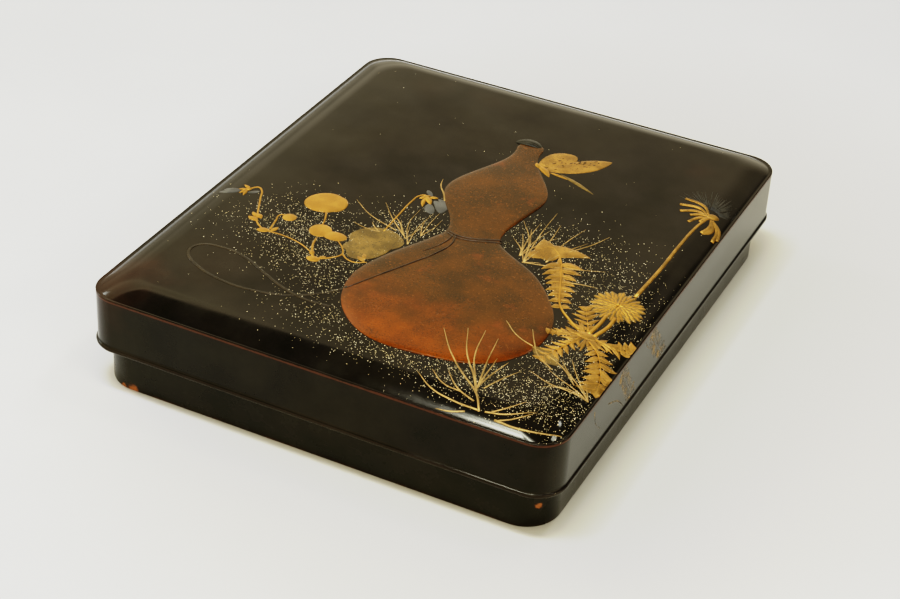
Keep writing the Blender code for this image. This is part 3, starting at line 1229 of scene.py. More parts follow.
def add_strokes(bm, strokes, flatness=0.4, steps=6):
    """Tapering strokes, flattened to low ridges."""
    curve = bpy.data.curves.new("strokes", "CURVE")
    curve.dimensions = "3D"
    curve.bevel_depth = 1.0
    curve.bevel_resolution = 1
    curve.resolution_u = steps
    curve.use_fill_caps = True
    for stroke in strokes:
        add_smooth_line(curve, stroke)
    tubes = bmesh.new()
    tubes.from_mesh(bpy.data.meshes.new_from_object(bpy.data.objects.new("strokes", curve)))
    bmesh.ops.remove_doubles(tubes, verts=tubes.verts, dist=0.0001)
    bmesh.ops.scale(tubes, vec=(1.0, 1.0, flatness), verts=tubes.verts)
    bmesh.ops.recalc_face_normals(tubes, faces=tubes.faces)
    add_part(bm, tubes)


def draw_piece(name, finish, petals=(), strokes=(), over_gourd=False, slot="gold_lacquer", **shape):
    """One piece of the picture, made of petals and strokes and draped on lid or gourd."""
    bm = bmesh.new()
    for petal in petals:
        add_petal(bm, *petal)
    if strokes:
        add_strokes(bm, strokes, **shape)
    drape(bm, [lid_skin, gourd_skin] if over_gourd else [lid_skin])
    finish_piece(bm, name, finish, slot)


print("brush tools ready")

# %% [markdown]
# ## Stopper and cord
# A dark stopper closes the flask. A thin double cord is tied round the waist, its end runs down
# over the lower bulb, and a long loop of it lies on the lacquer at the left.

# %% Stopper and cord
draw_piece(
    "gourd_stopper", pewter, slot="grey_lacquer",
    petals=[
        ((-4.8, 69.2), (7.6, 69.4), 6.4, 1.0, 1.9, 0.0, 0.0),
        ((-3.6, 68.4), (6.8, 68.8), 3.0, 1.25, 0.6, 0.1, 0.1),
    ],
)
CORD = 0.40
cord_strokes = [
    [(3.2, -13.0, CORD), (8.0, -14.8, CORD), (15.0, -13.8, CORD), (21.0, -11.0, CORD), (25.2, -8.6, CORD)],
    [(3.6, -14.6, CORD), (8.0, -16.4, CORD), (15.0, -15.4, CORD), (21.4, -12.6, CORD), (26.0, -10.4, CORD)],
    [(8.0, -15.6, CORD), (9.2, -22.0, CORD), (7.2, -31.0, CORD), (2.0, -43.0, CORD),
     (-3.5, -54.5, CORD), (-11.2, -71.0, 0.3)],
    [(6.4, -15.2, CORD), (6.6, -20.0, CORD), (4.6, -27.0, 0.3), (1.6, -33.0, 0.15)],
]
LOOP = 0.72
LOOP_WAY = (
    (-11.5, -70.5), (-18.0, -79.0), (-28.0, -86.4), (-42.0, -90.6), (-56.0, -90.6),
    (-69.0, -86.6), (-77.6, -79.6), (-77.0, -73.2), (-67.0, -70.2), (-56.0, -72.2),
    (-44.0, -78.0), (-33.0, -83.0), (-22.0, -85.8), (-10.0, -85.2),
)
loop_line = [(x, y, LOOP) for x, y in LOOP_WAY]
draw_piece(
    "gourd_cord", cord_brown, over_gourd=True, slot="gourd_lacquer",
    strokes=cord_strokes, flatness=0.7,
)
draw_piece(
    "cord_loop", faded_cord, over_gourd=True, slot="gourd_lacquer",
    strokes=[loop_line], flatness=0.08, steps=10,
)

# %% [markdown]
# ## Butterfly
# The butterfly behind the neck is gold too, thinner and more rubbed than the leaves, with darker
# mottling on its wings and one long grey-gold tail.

# %% Butterfly
draw_piece(
    "butterfly_wings", leaf_gold,
    petals=[
        ((12.5, 55.0), (23.5, 71.0), 12.0, 0.10, 0.4, 0.15, 0.35, 12, 12),
        ((15.5, 52.5), (38.6, 74.4), 10.0, 0.13, -1.0, 0.30, 0.4, 12, 14),
    ],
    strokes=[
        [(14.0, 56.0, 0.3), (19.0, 63.0, 0.22), (23.0, 69.5, 0.1)],
        [(19.0, 54.5, 0.3), (28.0, 63.0, 0.22), (37.0, 73.0, 0.1)],
        [(13.0, 57.0, 0.3), (14.6, 63.0, 0.22), (19.6, 70.4, 0.1)],
    ],
)
WING_SPOTS = 30
WING_ROOT = Vector((14.0, 54.5))
WING_TIP = Vector((36.0, 71.5))
ALONG_WING = Vector((0.7, 0.7))
ACROSS_WING = Vector((-0.7, 0.7))
wing_spots = []
for _ in range(WING_SPOTS):
    along = chance.uniform(0.15, 0.92)
    middle = WING_ROOT.lerp(WING_TIP, along)
    spot = middle + ACROSS_WING * chance.uniform(-3.0, 3.0 + 5.0 * (along < 0.45))
    end = spot + ALONG_WING * chance.uniform(0.5, 1.9)
    wing_spots.append((tuple(spot), tuple(end), chance.uniform(0.35, 0.7), 0.26))
draw_piece("butterfly_spots", cord_brown, over_gourd=True, petals=wing_spots)
draw_piece(
    "butterfly_body", bright_gold, over_gourd=True,
    petals=[
        ((12.0, 55.6), (20.5, 48.4), 3.4, 0.35, 0.5),
        ((11.0, 56.5), (13.6, 53.0), 2.6, 0.40, 0.0, 0.2, 0.2),
        ((19.0, 52.2), (28.4, 50.6), 1.6, 0.20, 0.3),
    ],
)
draw_piece(
    "butterfly_tail", dull_gold, over_gourd=True,
    petals=[((23.5, 53.2), (42.5, 44.8), 2.1, 0.22, 0.5, 0.5, 0.3, 8, 14)],
)

# %% [markdown]
# ## Seed head and its stem
# A tall stem climbs the right side of the lid and ends in a nodding head: long ridged rays that
# hang down on both sides, under a faint grey fluff that is nearly worn away.

# %% Seed head
RAY_HUB = Vector((91.8, 55.0))
RAY_TIPS = (
    (77.0, 62.8, 2.6), (76.5, 57.2, 2.4), (78.4, 52.3, 2.0), (83.2, 51.4, 0.9), (84.5, 45.9, 1.2),
    (88.6, 48.5, 0.5), (92.0, 41.6, -1.4), (97.4, 40.6, -2.0), (98.6, 43.2, -1.8),
)
seed_rays = []
for x, y, arch in RAY_TIPS:
    run = Vector((x, y)) - RAY_HUB
    bend = Vector((-run.y, run.x)).normalized() * -arch
    middle = RAY_HUB + run * 0.5 + bend
    seed_rays.append([(*(RAY_HUB + run * 0.12), 0.40), (*middle, 0.92), (x, y, 0.80)])
draw_piece("seed_head_rays", leaf_gold, strokes=seed_rays, flatness=0.5)
draw_piece(
    "seed_head_cap", leaf_gold,
    petals=[
        ((89.8, 54.4), (94.2, 57.0), 4.0, 0.50, 0.2, 0.1, 0.1, 10, 8),
        ((93.0, 52.6), (92.4, 41.0), 3.0, 0.30, 1.4, 0.3, 0.5, 8, 10),
    ],
)
seed_stem = [
    (90.4, 53.4, 0.55), (88.9, 44.0, 0.66), (88.2, 26.0, 0.74), (88.2, 8.0, 0.80), (87.2, -18.5, 0.86),
]
draw_piece("seed_head_stem", leaf_gold, strokes=[seed_stem])
FLUFF_HAIRS = 150
FLUFF_RIGHT_END = 98.4
fluff = []
for _ in range(FLUFF_HAIRS):
    heading = radians(chance.uniform(20.0, 160.0))
    reach = chance.uniform(5.0, 15.0)
    root = (RAY_HUB.x - 2.0 + cos(heading) * 4.0, RAY_HUB.y + 3.0 + sin(heading) * 2.0)
    tip = (min(FLUFF_RIGHT_END, root[0] + cos(heading) * reach), root[1] + sin(heading) * reach)
    fluff.append([(*root, 0.22), (*tip, 0.10)])
draw_piece("seed_head_fluff", fluff_grey, slot="grey_lacquer", strokes=fluff, flatness=0.3, steps=2)

# %% [markdown]
# ## Dandelion
# The open dandelion is drawn from above: six rings of narrow rays, each shorter and a little
# higher than the one outside it. Under each ray lies a duller and wider one, which shows as a dark
# line between its neighbours: partly darker powder, partly painted shade between the rays. Chance
# makes no two rays alike, as the brush does.

# %% Dandelion flower
FLOWER = Vector((84.0, -28.2))
FLOWER_RINGS = (
    (26, 10.6, 0.10), (23, 8.9, 0.24), (19, 7.1, 0.36), (14, 5.4, 0.47), (9, 3.7, 0.56), (5, 2.2, 0.64),
)
RAY_LENGTH = 5.0
dull_rays_and_shade = []
bright_rays = []
for count, reach, level in FLOWER_RINGS:
    for number in range(count):
        heading = tau * (number + 0.5 * (count % 2)) / count + chance.uniform(-0.06, 0.06)
        out = Vector((cos(heading), sin(heading)))
        long = reach * chance.uniform(0.92, 1.06)
        root = tuple(FLOWER + out * max(0.3, long - RAY_LENGTH))
        tip = tuple(FLOWER + out * long)
        bow = chance.uniform(-0.2, 0.2)
        # Each duller, wider ray under a bright one is darker powder and also painted shade: the dark line
        # between rays.
        dull_rays_and_shade.append((root, tuple(FLOWER + out * (long + 0.3)), 2.5, level, bow, 0.3))
        bright_rays.append((root, tip, 1.55, level + 0.09, bow, 0.35, 0.1))
draw_piece("dandelion_dull_rays_and_shade", dull_gold, petals=dull_rays_and_shade)
draw_piece("dandelion_flower", bright_gold, petals=bright_rays)
draw_piece(
    "dandelion_stems", bright_gold,
    strokes=[
        [(82.6, -36.0, 0.8), (82.6, -43.0, 0.9), (81.6, -51.5, 1.0)],
        [(86.2, -36.0, 0.8), (86.2, -43.0, 0.9), (84.0, -52.0, 1.0)],
    ],
)

# %% [markdown]
# ## Toothed leaves
# A dandelion leaf is a midrib with teeth on both sides. Each tooth is one petal, rooted on the
# midrib, with a fine vein of its own. One function makes them all, from how long a tooth is at the
# base, the middle and the tip, and how far the teeth lean away from the midrib.


# %% Toothed leaf
BASE_WIDTH = 0.75
WIDTH_GAIN = 0.5
ROOT_SET_BACK = 0.4
TOOTH_BOW = 0.16
TOOTH_POINT = 0.75
VEIN = (0.16, 0.20, 0.07)
VEIN_END = 0.92
NEARLY_TIP = 0.9
RIB_TAPER = 0.7


def point_along(points, share):
    """The place and the direction at a share of the way along a line of points."""
    lengths = [(Vector(b[:2]) - Vector(a[:2])).length for a, b in zip(points, points[1:])]
    left = share * sum(lengths)
    for (a, b), length in zip(zip(points, points[1:]), lengths):
        if left <= length or (a, b) == (points[-2], points[-1]):
            step = (Vector(b[:2]) - Vector(a[:2])) / length
            return Vector(a[:2]) + step * left, step
        left -= length


def toothed_leaf(
    midrib, teeth, reach, sweep=62.0, tooth_width=3.4, height=0.16, start=0.12, stop=0.97,
):
    """Petals for the teeth of a leaf, and a fine vein for each.

    reach gives the length of a tooth at the base, the middle and the tip. Only a leaf whose teeth
    run nearly to its tip ends in a petal of its own.
    """
    petals = []
    veins = []
    low, middle, high = reach
    for number in range(teeth):
        share = start + (stop - start) * number / (teeth - 1)
        place, step = point_along(midrib, share)
        long = low + (middle - low) * min(1.0, share * 2) + (high - middle) * max(0.0, share * 2 - 1)
        wide = tooth_width * (BASE_WIDTH + WIDTH_GAIN * share)
        for side in (-1, 1):
            turn = Matrix.Rotation(side * radians(sweep + chance.uniform(-5.0, 5.0)), 2)
            out = turn @ step * long * chance.uniform(0.88, 1.08)
            root = place - step * ROOT_SET_BACK
            tip = place + out
            bow = -side * wide * TOOTH_BOW
            petals.append((tuple(root), tuple(tip), wide, height, bow, TOOTH_POINT, 0.0, 8, 8))
            middle_of_vein = root.lerp(tip, 0.5) + Vector((-out.y, out.x)).normalized() * bow
            way = (root, middle_of_vein, root.lerp(tip, VEIN_END))
            veins.append([(*point, thickness) for point, thickness in zip(way, VEIN)])
    if stop > NEARLY_TIP:
        tip, step = point_along(midrib, 1.0)
        start_of_tip = tuple(tip - step * high * 0.5)
        end_of_tip = tuple(tip + step * high * 0.35)
        petals.append((start_of_tip, end_of_tip, high * 0.9, height, 0.0, 0.6, 0.2))
    return petals, veins


def draw_leaf(name, midrib, teeth, reach, rib=0.42, lobes=(), **shape):
    """A toothed leaf under a bright midrib with veins, as two pieces."""
    petals, veins = toothed_leaf(midrib, teeth, reach, **shape)
    draw_piece(name, leaf_gold, over_gourd=True, petals=petals + list(lobes))
    last = len(midrib) - 1
    rib_line = [(x, y, rib * (1.0 - RIB_TAPER * number / last)) for number, (x, y) in enumerate(midrib)]
    lines = [rib_line] + veins
    draw_piece(name + "_midrib", bright_gold, over_gourd=True, strokes=lines, flatness=1.3)


print("a leaf's veins have their three half widths:", *VEIN)

# %% [markdown]
# ## The leaves of the dandelion
# Six leaves spread from one crown, each with its own midrib, number of teeth and length of tooth.
# The big one climbs beside the gourd and ends in three wide lobes in place of teeth. One tip is
# turned over and shows its dull underside, and a rosette of short narrow petals hides the crown.

# %% Leaves of the dandelion
BIG_LEAF = [
    (77.5, -51.0), (71.5, -46.5), (65.0, -40.0), (60.2, -29.5), (55.8, -18.7), (51.9, -10.0),
    (47.8, -4.6), (44.1, -2.6), (41.0, -5.9),
]
ARROW_LOBES = (
    ((38.6, -13.2), (61.2, -1.8), 9.5, 0.17, 3.8, 0.45, 0.12, 14, 14),
    ((48.5, -12.0), (39.0, 1.8), 10.5, 0.19, 0.4, 0.55, 0.2, 14, 12),
    ((63.4, -36.5), (50.0, -7.0), 5.4, 0.13, 0.8, 0.62, 0.1, 16, 10),
)
draw_leaf(
    "leaf_big", BIG_LEAF, 8, (1.6, 6.6, 12.8), start=0.27, stop=0.73, tooth_width=3.7,
    sweep=117.0, rib=0.55, lobes=ARROW_LOBES,
)
draw_leaf(
    "leaf_small", [(81.0, -50.0), (78.0, -44.0), (74.0, -36.0)], 5, (4.2, 6.8, 3.6),
    sweep=58.0, tooth_width=2.4, rib=0.35,
)
draw_leaf(
    "leaf_low_left", [(80.0, -55.0), (77.5, -62.0), (75.0, -68.5), (72.5, -75.0)], 7,
    (4.5, 6.6, 3.6), tooth_width=2.3, rib=0.4,
)
draw_leaf(
    "leaf_low_right", [(83.5, -56.0), (88.5, -60.0), (93.0, -66.5), (95.8, -73.0), (97.5, -80.0)], 8,
    (3.0, 7.6, 8.6), tooth_width=3.4, sweep=66.0, rib=0.4,
)
draw_leaf(
    "leaf_right", [(85.5, -53.6), (91.0, -54.4), (95.6, -52.6), (98.6, -47.0)], 6,
    (2.8, 5.4, 3.6), tooth_width=2.8, rib=0.35,
)
draw_leaf(
    "leaf_left", [(79.5, -53.5), (74.0, -54.5), (68.0, -58.0)], 6, (2.4, 3.4, 2.0),
    tooth_width=2.0, rib=0.3,
)
draw_piece(
    "leaf_turned_tip", dull_gold, over_gourd=True,
    petals=[((80.0, -76.5), (67.0, -70.5), 8.5, 0.12, -1.2, 0.5, 0.5, 12, 12)],
)
ROSETTE_RAYS = 22
ROSETTE_FROM = 100.0
ROSETTE_SPAN = 250.0
rosette = [((77.0, -53.0), (86.5, -53.5), 5.0, 0.45, 0.3, 0.1, 0.1)]
for number in range(ROSETTE_RAYS):
    round_crown = ROSETTE_SPAN * number / (ROSETTE_RAYS - 1)
    heading = radians(ROSETTE_FROM + round_crown + chance.uniform(-5.0, 5.0))
    long = chance.uniform(6.0, 11.0)
    root = (82.0 + cos(heading) * 3.0, -53.4 + sin(heading) * 1.6)
    tip = (root[0] + cos(heading) * long, root[1] + sin(heading) * long * 0.8)
    rosette.append((root, tip, 1.5, 0.32, chance.uniform(-0.7, 0.7)))
draw_piece("leaf_rosette", leaf_gold, petals=rosette)

# %% [markdown]
# ## The leaf that runs over the edge
# The lowest leaf doesn't stop at the lid's edge. It goes on down the right wall to the mouth, where
# hands have worn it to a trace. It is drawn flat like the rest, with X for the way along the wall
# and Y for the height, and then turned upright against the wall. A noise in its Alpha leaves only
# broken patches of the gold.


# %% Worn gold
def mix_worn_gold():
    """Gold powder that is mostly rubbed away, with holes down to the lacquer."""
    material, tree, shader, place = start_finish("worn_gold")
    tone = cloudy(tree, place, (0.17, 0.105, 0.030, 1.0), (0.42, 0.26, 0.075, 1.0), 150.0, 1.0)
    feed(tree, shader.inputs["Base Color"], tone)
    patches = noise(tree, place, 150.0, 5.0, 0.65)
    crumbs = noise(tree, place, 1500.0, 2.0, 0.6)
    both = plus(tree, patches, times(tree, crumbs, 0.7))
    feed(tree, shader.inputs["Alpha"], spread(tree, both, 0.74, 0.98, 0.0, 0.72))
    set_shader(shader, Roughness=0.45, Metallic=0.5)
    return material


worn_gold = mix_worn_gold()
print("finish:", worn_gold.name)

# %% [markdown]
# Two broad leaves with petals along their midribs, and three single stalks, make what is left on
# the wall. They end where the lip and the bead begin.


# %% Leaf on the wall
SUNK = 0.02 * MM


def stand_on_wall(bm):
    """Turn a flat piece in millimetres upright, against the lid's right wall."""
    bmesh.ops.scale(bm, vec=(MM, MM, MM), verts=bm.verts)
    upright = Matrix(((0.0, 0.0, 1.0), (1.0, 0.0, 0.0), (0.0, 1.0, 0.0)))
    bmesh.ops.rotate(bm, cent=ORIGIN, matrix=upright, verts=bm.verts)
    bmesh.ops.translate(bm, vec=(half_width - SUNK, 0.0, 0.0), verts=bm.verts)


BEAD_TOP = 20.8
LIP_FOOT = 39.8
WALL_VEINS = (
    ((-31.0, LIP_FOOT), (-22.0, 27.5), (-15.0, BEAD_TOP)),
    ((-60.5, LIP_FOOT), (-52.5, 28.0), (-46.6, BEAD_TOP)),
    ((-37.0, LIP_FOOT), (-34.0, 36.0), (-29.0, 32.0)),
    ((-72.0, 33.0), (-62.0, 28.0), (-55.0, 21.5)),
    ((-86.0, 38.0), (-84.0, 32.0), (-78.6, 26.0)),
)
WALL_TEETH = 9
WALL_TOOTH = (4.5, 7.5)
WALL_TOOTH_WIDTH = 2.6
WALL_TOOTH_HEIGHT = 0.07
WALL_LINE = (0.45, 0.4, 0.3)
WALL_SWEEP = radians(48.0)
wall_leaf = bmesh.new()
for first, _, last in WALL_VEINS[:2]:
    run = (Vector(last) - Vector(first)).normalized()
    for number in range(WALL_TEETH):
        root = Vector(first).lerp(Vector(last), number / WALL_TEETH)
        for side in (-1, 1):
            tip = root + Matrix.Rotation(side * WALL_SWEEP, 2) @ run * chance.uniform(*WALL_TOOTH)
            tip.y = max(BEAD_TOP, min(LIP_FOOT, tip.y))
            add_petal(wall_leaf, tuple(root), tuple(tip), WALL_TOOTH_WIDTH, WALL_TOOTH_HEIGHT)
wall_lines = []
for way in WALL_VEINS:
    wall_lines.append([(*point, thickness) for point, thickness in zip(way, WALL_LINE)])
add_strokes(wall_leaf, wall_lines, flatness=0.15)
stand_on_wall(wall_leaf)
finish_piece(wall_leaf, "leaf_on_wall", worn_gold, "gold_lacquer")

# %% [markdown]
# ## Violets
# Round violet leaves stand on thin stalks that rise from a creeping runner. The powder is dense on
# them, so they are the brightest gold on the lid. Two small flowers nod over: their calyx is gold
# and their petals are grey.

# %% Violets
draw_piece(
    "violet_leaves", bright_gold,
    petals=[
        ((-45.5, -25.5), (-54.0, -12.5), 17.2, 0.20, 0.5, 0.0, 0.0, 20, 14),
        ((-44.0, -24.0), (-47.0, -12.0), 9.5, 0.19, 0.0, 0.0, 0.0, 14, 10),
        ((-36.5, -38.0), (-45.5, -40.5), 9.6, 0.20, 0.0, 0.0, 0.0, 16, 12),
        ((-39.0, -40.5), (-28.8, -39.8), 6.6, 0.20, 0.0, 0.0, 0.0, 16, 12),
        ((-53.8, -36.6), (-59.6, -37.2), 5.6, 0.22, 0.0, 0.0, 0.0, 14, 10),
        ((-63.5, -51.6), (-58.0, -49.6), 3.6, 0.30), ((-57.8, -50.0), (-56.6, -45.8), 2.2, 0.30),
        ((-36.0, -59.4), (-30.2, -59.0), 4.2, 0.32, 0.0, 0.1, 0.1),
        ((-35.0, -57.0), (-36.6, -53.6), 2.2, 0.3),
        ((-71.6, -44.4), (-66.0, -45.8), 2.8, 0.30), ((-71.8, -40.6), (-68.0, -43.8), 2.0, 0.28),
        ((-69.4, -41.0), (-66.0, -43.4), 2.8, 0.30), ((-31.5, -57.6), (-29.4, -55.2), 1.9, 0.26),
    ],
    strokes=[
        [(-46.0, -25.5, 0.50), (-43.6, -31.0, 0.34), (-42.2, -36.5, 0.34)],
        [(-39.6, -45.0, 0.40), (-38.2, -50.5, 0.45), (-33.6, -58.4, 0.60)],
        [(-31.0, -42.6, 0.28), (-27.0, -46.4, 0.30), (-25.0, -50.4, 0.34), (-27.2, -54.6, 0.42),
         (-32.0, -58.6, 0.55)],
        [(-58.6, -36.2, 0.36), (-60.8, -36.8, 0.36), (-60.2, -42.0, 0.38), (-58.8, -48.8, 0.45)],
        [(-60.5, -50.6, 0.45), (-52.0, -50.2, 0.32), (-43.6, -51.8, 0.30), (-36.6, -55.0, 0.34)],
        [(-61.6, -50.2, 0.45), (-66.4, -46.4, 0.40), (-69.0, -41.6, 0.38), (-74.6, -30.0, 0.38),
         (-78.0, -23.4, 0.42), (-80.0, -22.4, 0.46), (-82.2, -24.6, 0.5)],
        [(-25.0, -50.0, 0.4), (-21.4, -52.6, 0.36), (-17.6, -53.0, 0.36), (-13.6, -50.6, 0.3)],
        [(-19.0, -26.6, 0.38), (-19.8, -12.0, 0.40), (-20.2, 1.0, 0.42), (-19.6, 5.8, 0.45),
         (-17.8, 7.6, 0.5), (-15.6, 6.4, 0.6)],
    ],
)
draw_piece(
    "violet_flowers", bright_gold,
    petals=[
        ((-82.4, -25.0), (-86.2, -23.6), 1.7, 0.35), ((-82.6, -26.0), (-86.4, -27.8), 1.9, 0.35),
        ((-83.0, -26.6), (-82.0, -31.4), 1.6, 0.35), ((-82.8, -26.2), (-84.6, -30.4), 1.8, 0.35),
        ((-81.6, -25.2), (-84.2, -26.6), 2.4, 0.40),
        ((-17.6, 7.0), (-12.2, 1.8), 2.9, 0.40, 0.4), ((-16.6, 6.0), (-14.4, -1.4), 1.9, 0.36, -0.4),
        ((-15.4, 7.0), (-11.8, 8.2), 1.9, 0.34), ((-18.6, 4.0), (-15.6, 8.6), 2.2, 0.34),
    ],
)
draw_piece(
    "violet_petals", silver_grey, slot="grey_lacquer",
    petals=[
        ((-84.6, -28.6), (-93.0, -32.6), 2.8, 0.16, 0.4, 0.1, 0.2),
        ((-85.0, -28.0), (-92.0, -30.2), 2.2, 0.18, -0.2, 0.1, 0.2),
        ((-81.8, -28.4), (-77.8, -25.0), 1.9, 0.16, -0.3, 0.1, 0.2),
        ((-14.6, 8.2), (-18.6, 11.8), 2.4, 0.16, 0.2, 0.1, 0.2),
        ((-12.4, 5.6), (-5.6, -2.0), 5.6, 0.16, 1.6, 0.1, 0.2, 12, 12),
        ((-13.2, 2.4), (-8.6, -4.4), 4.4, 0.18, -0.5, 0.1, 0.2, 10, 10),
        ((-11.6, 7.6), (-6.4, 4.6), 2.6, 0.18, 0.4, 0.1, 0.2),
    ],
)

# %% [markdown]
# ## The shaded leaf by the gourd
# One heart-shaped leaf stands in the gourd's shade. Its powder is thinner and duller, an olive
# gold, and its veins are drawn over it in brighter lines.

# %% Shaded leaf
draw_piece(
    "shaded_leaf", dull_gold,
    petals=[
        ((-29.5, -36.5), (-7.5, -31.0), 17.0, 0.11, 0.8, 0.1, 0.1, 18, 16),
        ((-22.0, -50.5), (-12.5, -30.0), 15.0, 0.12, 0.6, 0.2, 0.1, 18, 16),
        ((-27.6, -45.5), (-15.0, -36.0), 10.0, 0.10, 0.0, 0.1, 0.1, 14, 12),
    ],
)
draw_piece(
    "shaded_leaf_veins", leaf_gold, over_gourd=True,
    strokes=[
        [(-15.4, -49.0, 0.30), (-18.4, -42.0, 0.24), (-23.4, -33.0, 0.12)],
        [(-16.4, -46.0, 0.24), (-22.0, -44.4, 0.20), (-27.4, -38.6, 0.10)],
        [(-17.6, -43.0, 0.24), (-15.6, -38.6, 0.20), (-17.0, -31.0, 0.10)],
        [(-16.6, -38.0, 0.20), (-12.6, -37.4, 0.20), (-9.6, -33.6, 0.10)],
        [(-16.0, -47.6, 0.24), (-13.2, -44.0, 0.20), (-12.4, -39.0, 0.10)],
    ],
    petals=[((-19.0, -48.6), (-14.4, -51.0), 2.2, 0.25), ((-15.6, -49.6), (-17.8, -45.4), 1.8, 0.25)],
)

# %% [markdown]
# ## Grass
# Each blade is one stroke from its tuft: a root, a point on the way that gives it its bend, and a
# fine tip. A tip is listed as its place and how strongly its blade bends to the left. The front
# tuft crosses the gourd, so it is draped on lid and gourd together.

# %% Grass
BLADE = 0.31
THIN_BLADE = 0.23
BEND = 0.10
BEND_AT = 0.55
MIDDLE_SHARE = 0.85
TIP_SHARE = 0.28


def blades(root, tips, width=BLADE):
    """Strokes from a tuft's root to each tip, bending to one side or the other."""
    strokes = []
    for x, y, side in tips:
        run = Vector((x, y)) - Vector(root)
        middle = Vector(root) + run * BEND_AT + Vector((-run.y, run.x)) * BEND * side
        strokes.append([(*root, width), (*middle, width * MIDDLE_SHARE), (x, y, width * TIP_SHARE)])
    return strokes


front_tuft = [
    [(66.4, -114.4, 0.45), (61.6, -107.0, 0.45), (52.0, -98.5, 0.36), (43.0, -90.0, 0.32),
     (33.5, -77.2, 0.12)],
    [(61.2, -106.2, 0.42), (55.6, -97.0, 0.38), (48.6, -88.0, 0.34), (41.4, -72.6, 0.12)],
    [(61.0, -105.6, 0.40), (56.0, -96.6, 0.36), (51.6, -88.0, 0.32), (47.8, -70.6, 0.12)],
    [(60.6, -104.0, 0.40), (57.6, -92.0, 0.34), (54.2, -73.0, 0.12)],
    [(60.4, -104.6, 0.38), (59.6, -95.0, 0.34), (59.2, -84.6, 0.12)],
    [(60.2, -103.0, 0.38), (61.6, -93.0, 0.32), (63.6, -84.0, 0.12)],
    [(62.6, -103.0, 0.34), (65.6, -95.0, 0.30), (69.6, -87.0, 0.12)],
    [(66.2, -114.0, 0.42), (56.0, -113.6, 0.36), (45.6, -111.4, 0.32), (37.0, -105.6, 0.12)],
    [(62.6, -111.0, 0.38), (54.6, -107.6, 0.34), (46.6, -99.6, 0.12)],
    [(56.0, -108.6, 0.36), (49.0, -107.6, 0.32), (41.0, -101.6, 0.12)],
    [(61.6, -116.0, 0.34), (56.6, -117.6, 0.30), (51.0, -118.2, 0.12)],
    [(68.4, -113.8, 0.40), (76.0, -112.0, 0.36), (84.6, -106.4, 0.14)],
    [(70.4, -113.4, 0.36), (75.0, -109.0, 0.32), (79.4, -102.6, 0.12)],
    [(73.0, -115.6, 0.44), (83.0, -115.8, 0.44), (91.0, -113.8, 0.36), (97.2, -110.4, 0.14)],
    [(73.6, -115.8, 0.36), (79.6, -112.6, 0.32), (85.4, -106.2, 0.12)],
]
edge_root = (97.2, -87.4)
edge_tips = [
    (83.0, -70.0, 0.4), (91.6, -76.0, 0.2), (77.6, -80.0, 0.5), (72.6, -84.6, 1.0), (80.6, -91.0, -1.0),
]
right_edge_tuft = [
    *blades(edge_root, edge_tips),
    [(90.0, -84.0, 0.32), (82.0, -76.4, 0.34), (73.0, -72.0, 0.32), (60.0, -67.8, 0.28), (51.6, -60.6, 0.12)],
    [(79.0, -79.6, 0.34), (71.0, -74.0, 0.34), (67.0, -68.4, 0.30), (62.6, -60.6, 0.12)],
    [(96.0, -86.4, 0.34), (86.0, -79.0, 0.32), (80.0, -72.4, 0.12)],
]
LEFT_ROOTS = (
    ((-6.2, -30.5), [(-8.0, -4.6, 0.5), (-11.4, -18.0, 0.5), (-14.2, -3.4, 0.9)], THIN_BLADE),
    ((-10.4, -25.4), [(-28.8, -6.2, 0.3), (-21.8, -12.6, -0.5)], BLADE),
    ((-15.0, -23.4), [(-40.4, -10.2, 0.7)], BLADE),
    ((-20.0, -28.0), [(-33.0, -26.4, 0.6), (-26.4, -22.6, 0.5)], BLADE),
    ((-9.0, -27.0), [(-7.6, -14.0, -0.4), (-17.0, -15.0, 0.5)], THIN_BLADE),
    ((-4.6, -22.0), [(-8.6, -9.6, 0.4), (-2.6, -7.0, -0.5), (-6.0, -1.6, 0.2)], THIN_BLADE),
)
left_tuft = []
for root, tips, width in LEFT_ROOTS:
    left_tuft += blades(root, tips, width)
left_tuft.append([(-8.6, 7.4, 0.38), (-12.0, 13.2, 0.36), (-15.6, 18.0, 0.3), (-17.4, 23.6, 0.12)])
RIGHT_ROOTS = (
    ((39.4, -18.4), [(26.0, 10.6, -0.7), (31.6, 6.0, -0.3), (35.6, 22.8, 0.2), (40.8, 15.0, -0.5),
                     (28.4, -4.0, -0.6)]),
    ((36.0, -15.0), [(44.0, 5.6, 0.5), (30.0, 1.0, -0.4), (38.6, 8.6, 0.3), (33.0, 12.6, 0.3)]),
    ((47.0, -14.0), [(50.8, 17.2, 0.4), (56.0, 8.0, 0.4)]),
    ((52.0, -2.0), [(61.6, 17.2, -0.4)]),
    ((38.8, -18.8), [(70.4, -8.0, -0.3), (45.6, -15.6, 0.2)]),
    ((60.0, -23.0), [(72.4, -20.6, 0.3)]),
)
right_tuft = []
for root, tips in RIGHT_ROOTS:
    right_tuft += blades(root, tips)
grass = [*front_tuft, *right_edge_tuft, *left_tuft, *right_tuft]
draw_piece("grass_blades", grass_gold, over_gourd=True, strokes=grass, flatness=0.55)

# %% [markdown]
# ## Sprinkled flakes
# Gold flakes of two sizes are scattered round the plants like light in grass. Chance picks a place,
# and keeps it more often where the powder was sprinkled thickly: a list of soft ovals says where,
# as their middles, their reach both ways and the share that stays. Flakes are repeated thousands
# of times, so each is only a thin five-sided chip with seven faces.

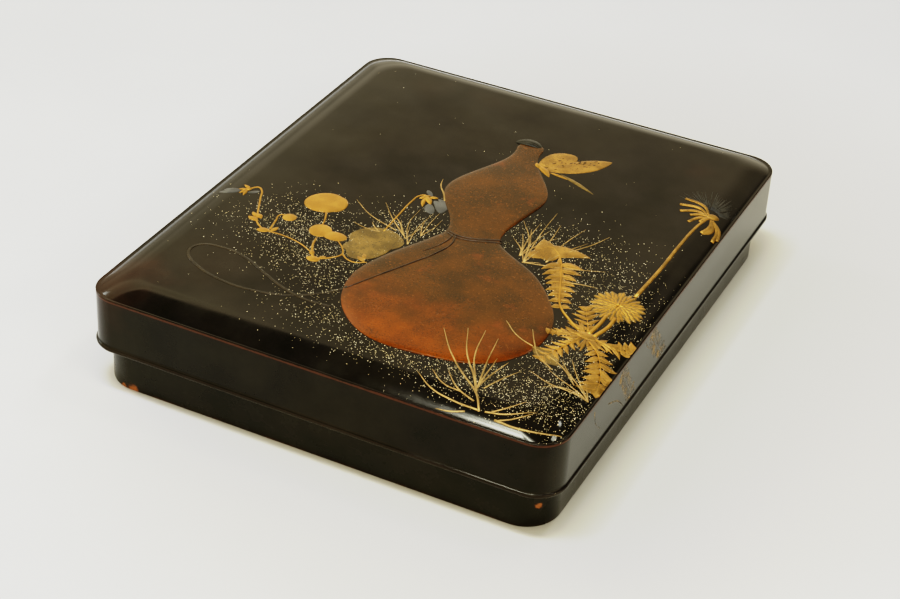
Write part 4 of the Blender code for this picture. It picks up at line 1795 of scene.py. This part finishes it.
# %% Sprinkle the flakes
SPRINKLED = (
    (-46.0, -42.0, 25.0, 18.0, 0.80), (-40.0, -56.0, 20.0, 14.0, 0.75),
    (-26.0, -56.0, 17.0, 17.0, 0.65), (-60.0, -48.0, 13.0, 10.0, 0.50),
    (-10.0, -21.0, 15.0, 13.0, 0.95), (30.0, -100.0, 38.0, 8.0, 0.75),
    (-6.0, -92.0, 22.0, 9.0, 0.45), (-22.0, -70.0, 13.0, 14.0, 0.50),
    (62.0, -99.0, 28.0, 12.0, 1.00), (86.0, -95.0, 15.0, 16.0, 1.50),
    (82.0, -72.0, 16.0, 18.0, 0.95), (72.0, -24.0, 24.0, 22.0, 0.50),
    (62.0, -4.0, 26.0, 16.0, 0.42), (40.0, 0.0, 18.0, 14.0, 0.50),
    (90.0, -40.0, 10.0, 20.0, 0.55), (10.0, 30.0, 20.0, 30.0, 0.04),
)
THINLY = 0.0012
APART = 0.66
ONE_BATCH = 250
REACH_X = (-97.0, 98.5)
REACH_Y = (-118.5, 110.0)
LEAN_UP_TO = 0.5
CHIP_SIDES = 5
CHIP_TOP = 0.6
CHIP_THICKNESS = 0.8
FEWER = 1.0
COARSE = (26000, (0.15, 0.24))
FINE = (38000, (0.085, 0.135))


def sprinkled_here(x, y):
    """Chance that a flake stays here, from soft ovals of powder."""
    densest = 0.0
    for middle_x, middle_y, reach_x, reach_y, share in SPRINKLED:
        away = ((x - middle_x) / reach_x) ** 2 + ((y - middle_y) / reach_y) ** 2
        densest = max(densest, share * exp(-away))
    return min(1.0, densest + THINLY)


def choose_places(tries):
    """Places on the lid, outside the gourd, where flakes fall."""
    places = []
    taken = set()
    for _ in range(tries):
        x = chance.uniform(*REACH_X)
        y = chance.uniform(*REACH_Y)
        if chance.random() > sprinkled_here(x, y):
            continue
        start = Vector((x * MM, y * MM, ABOVE_ALL))
        cell = (int(x / APART), int(y / APART))
        if cell in taken:
            continue
        taken.add(cell)
        place = lid_skin.ray_cast(start, DOWN)[0]
        if place is not None and gourd_skin.ray_cast(start, DOWN)[0] is None:
            places.append(place)
    return places


def sprinkle(name, tries, sizes):
    """Scatter flakes in batches, because a small bmesh is quick to work on."""
    bm = bmesh.new()
    places = choose_places(int(tries * FEWER))
    for first in range(0, len(places), ONE_BATCH):
        batch = bmesh.new()
        for place in places[first:first + ONE_BATCH]:
            size = chance.uniform(*sizes) * MM
            turned = Matrix.Rotation(chance.uniform(0.0, tau), 4, "Z")
            leaning = Matrix.Rotation(chance.uniform(0.0, LEAN_UP_TO), 4, "X")
            bmesh.ops.create_cone(
                batch, cap_ends=True, segments=CHIP_SIDES, radius1=size, radius2=size * CHIP_TOP,
                depth=size * CHIP_THICKNESS, matrix=Matrix.Translation(place) @ turned @ leaning,
            )
        add_part(bm, batch)
    print(name, "has", len(places), "flakes")
    finish_piece(bm, name, flake_gold, "gold_lacquer")


sprinkle("gold_flakes_coarse", *COARSE)
sprinkle("gold_flakes_fine", *FINE)
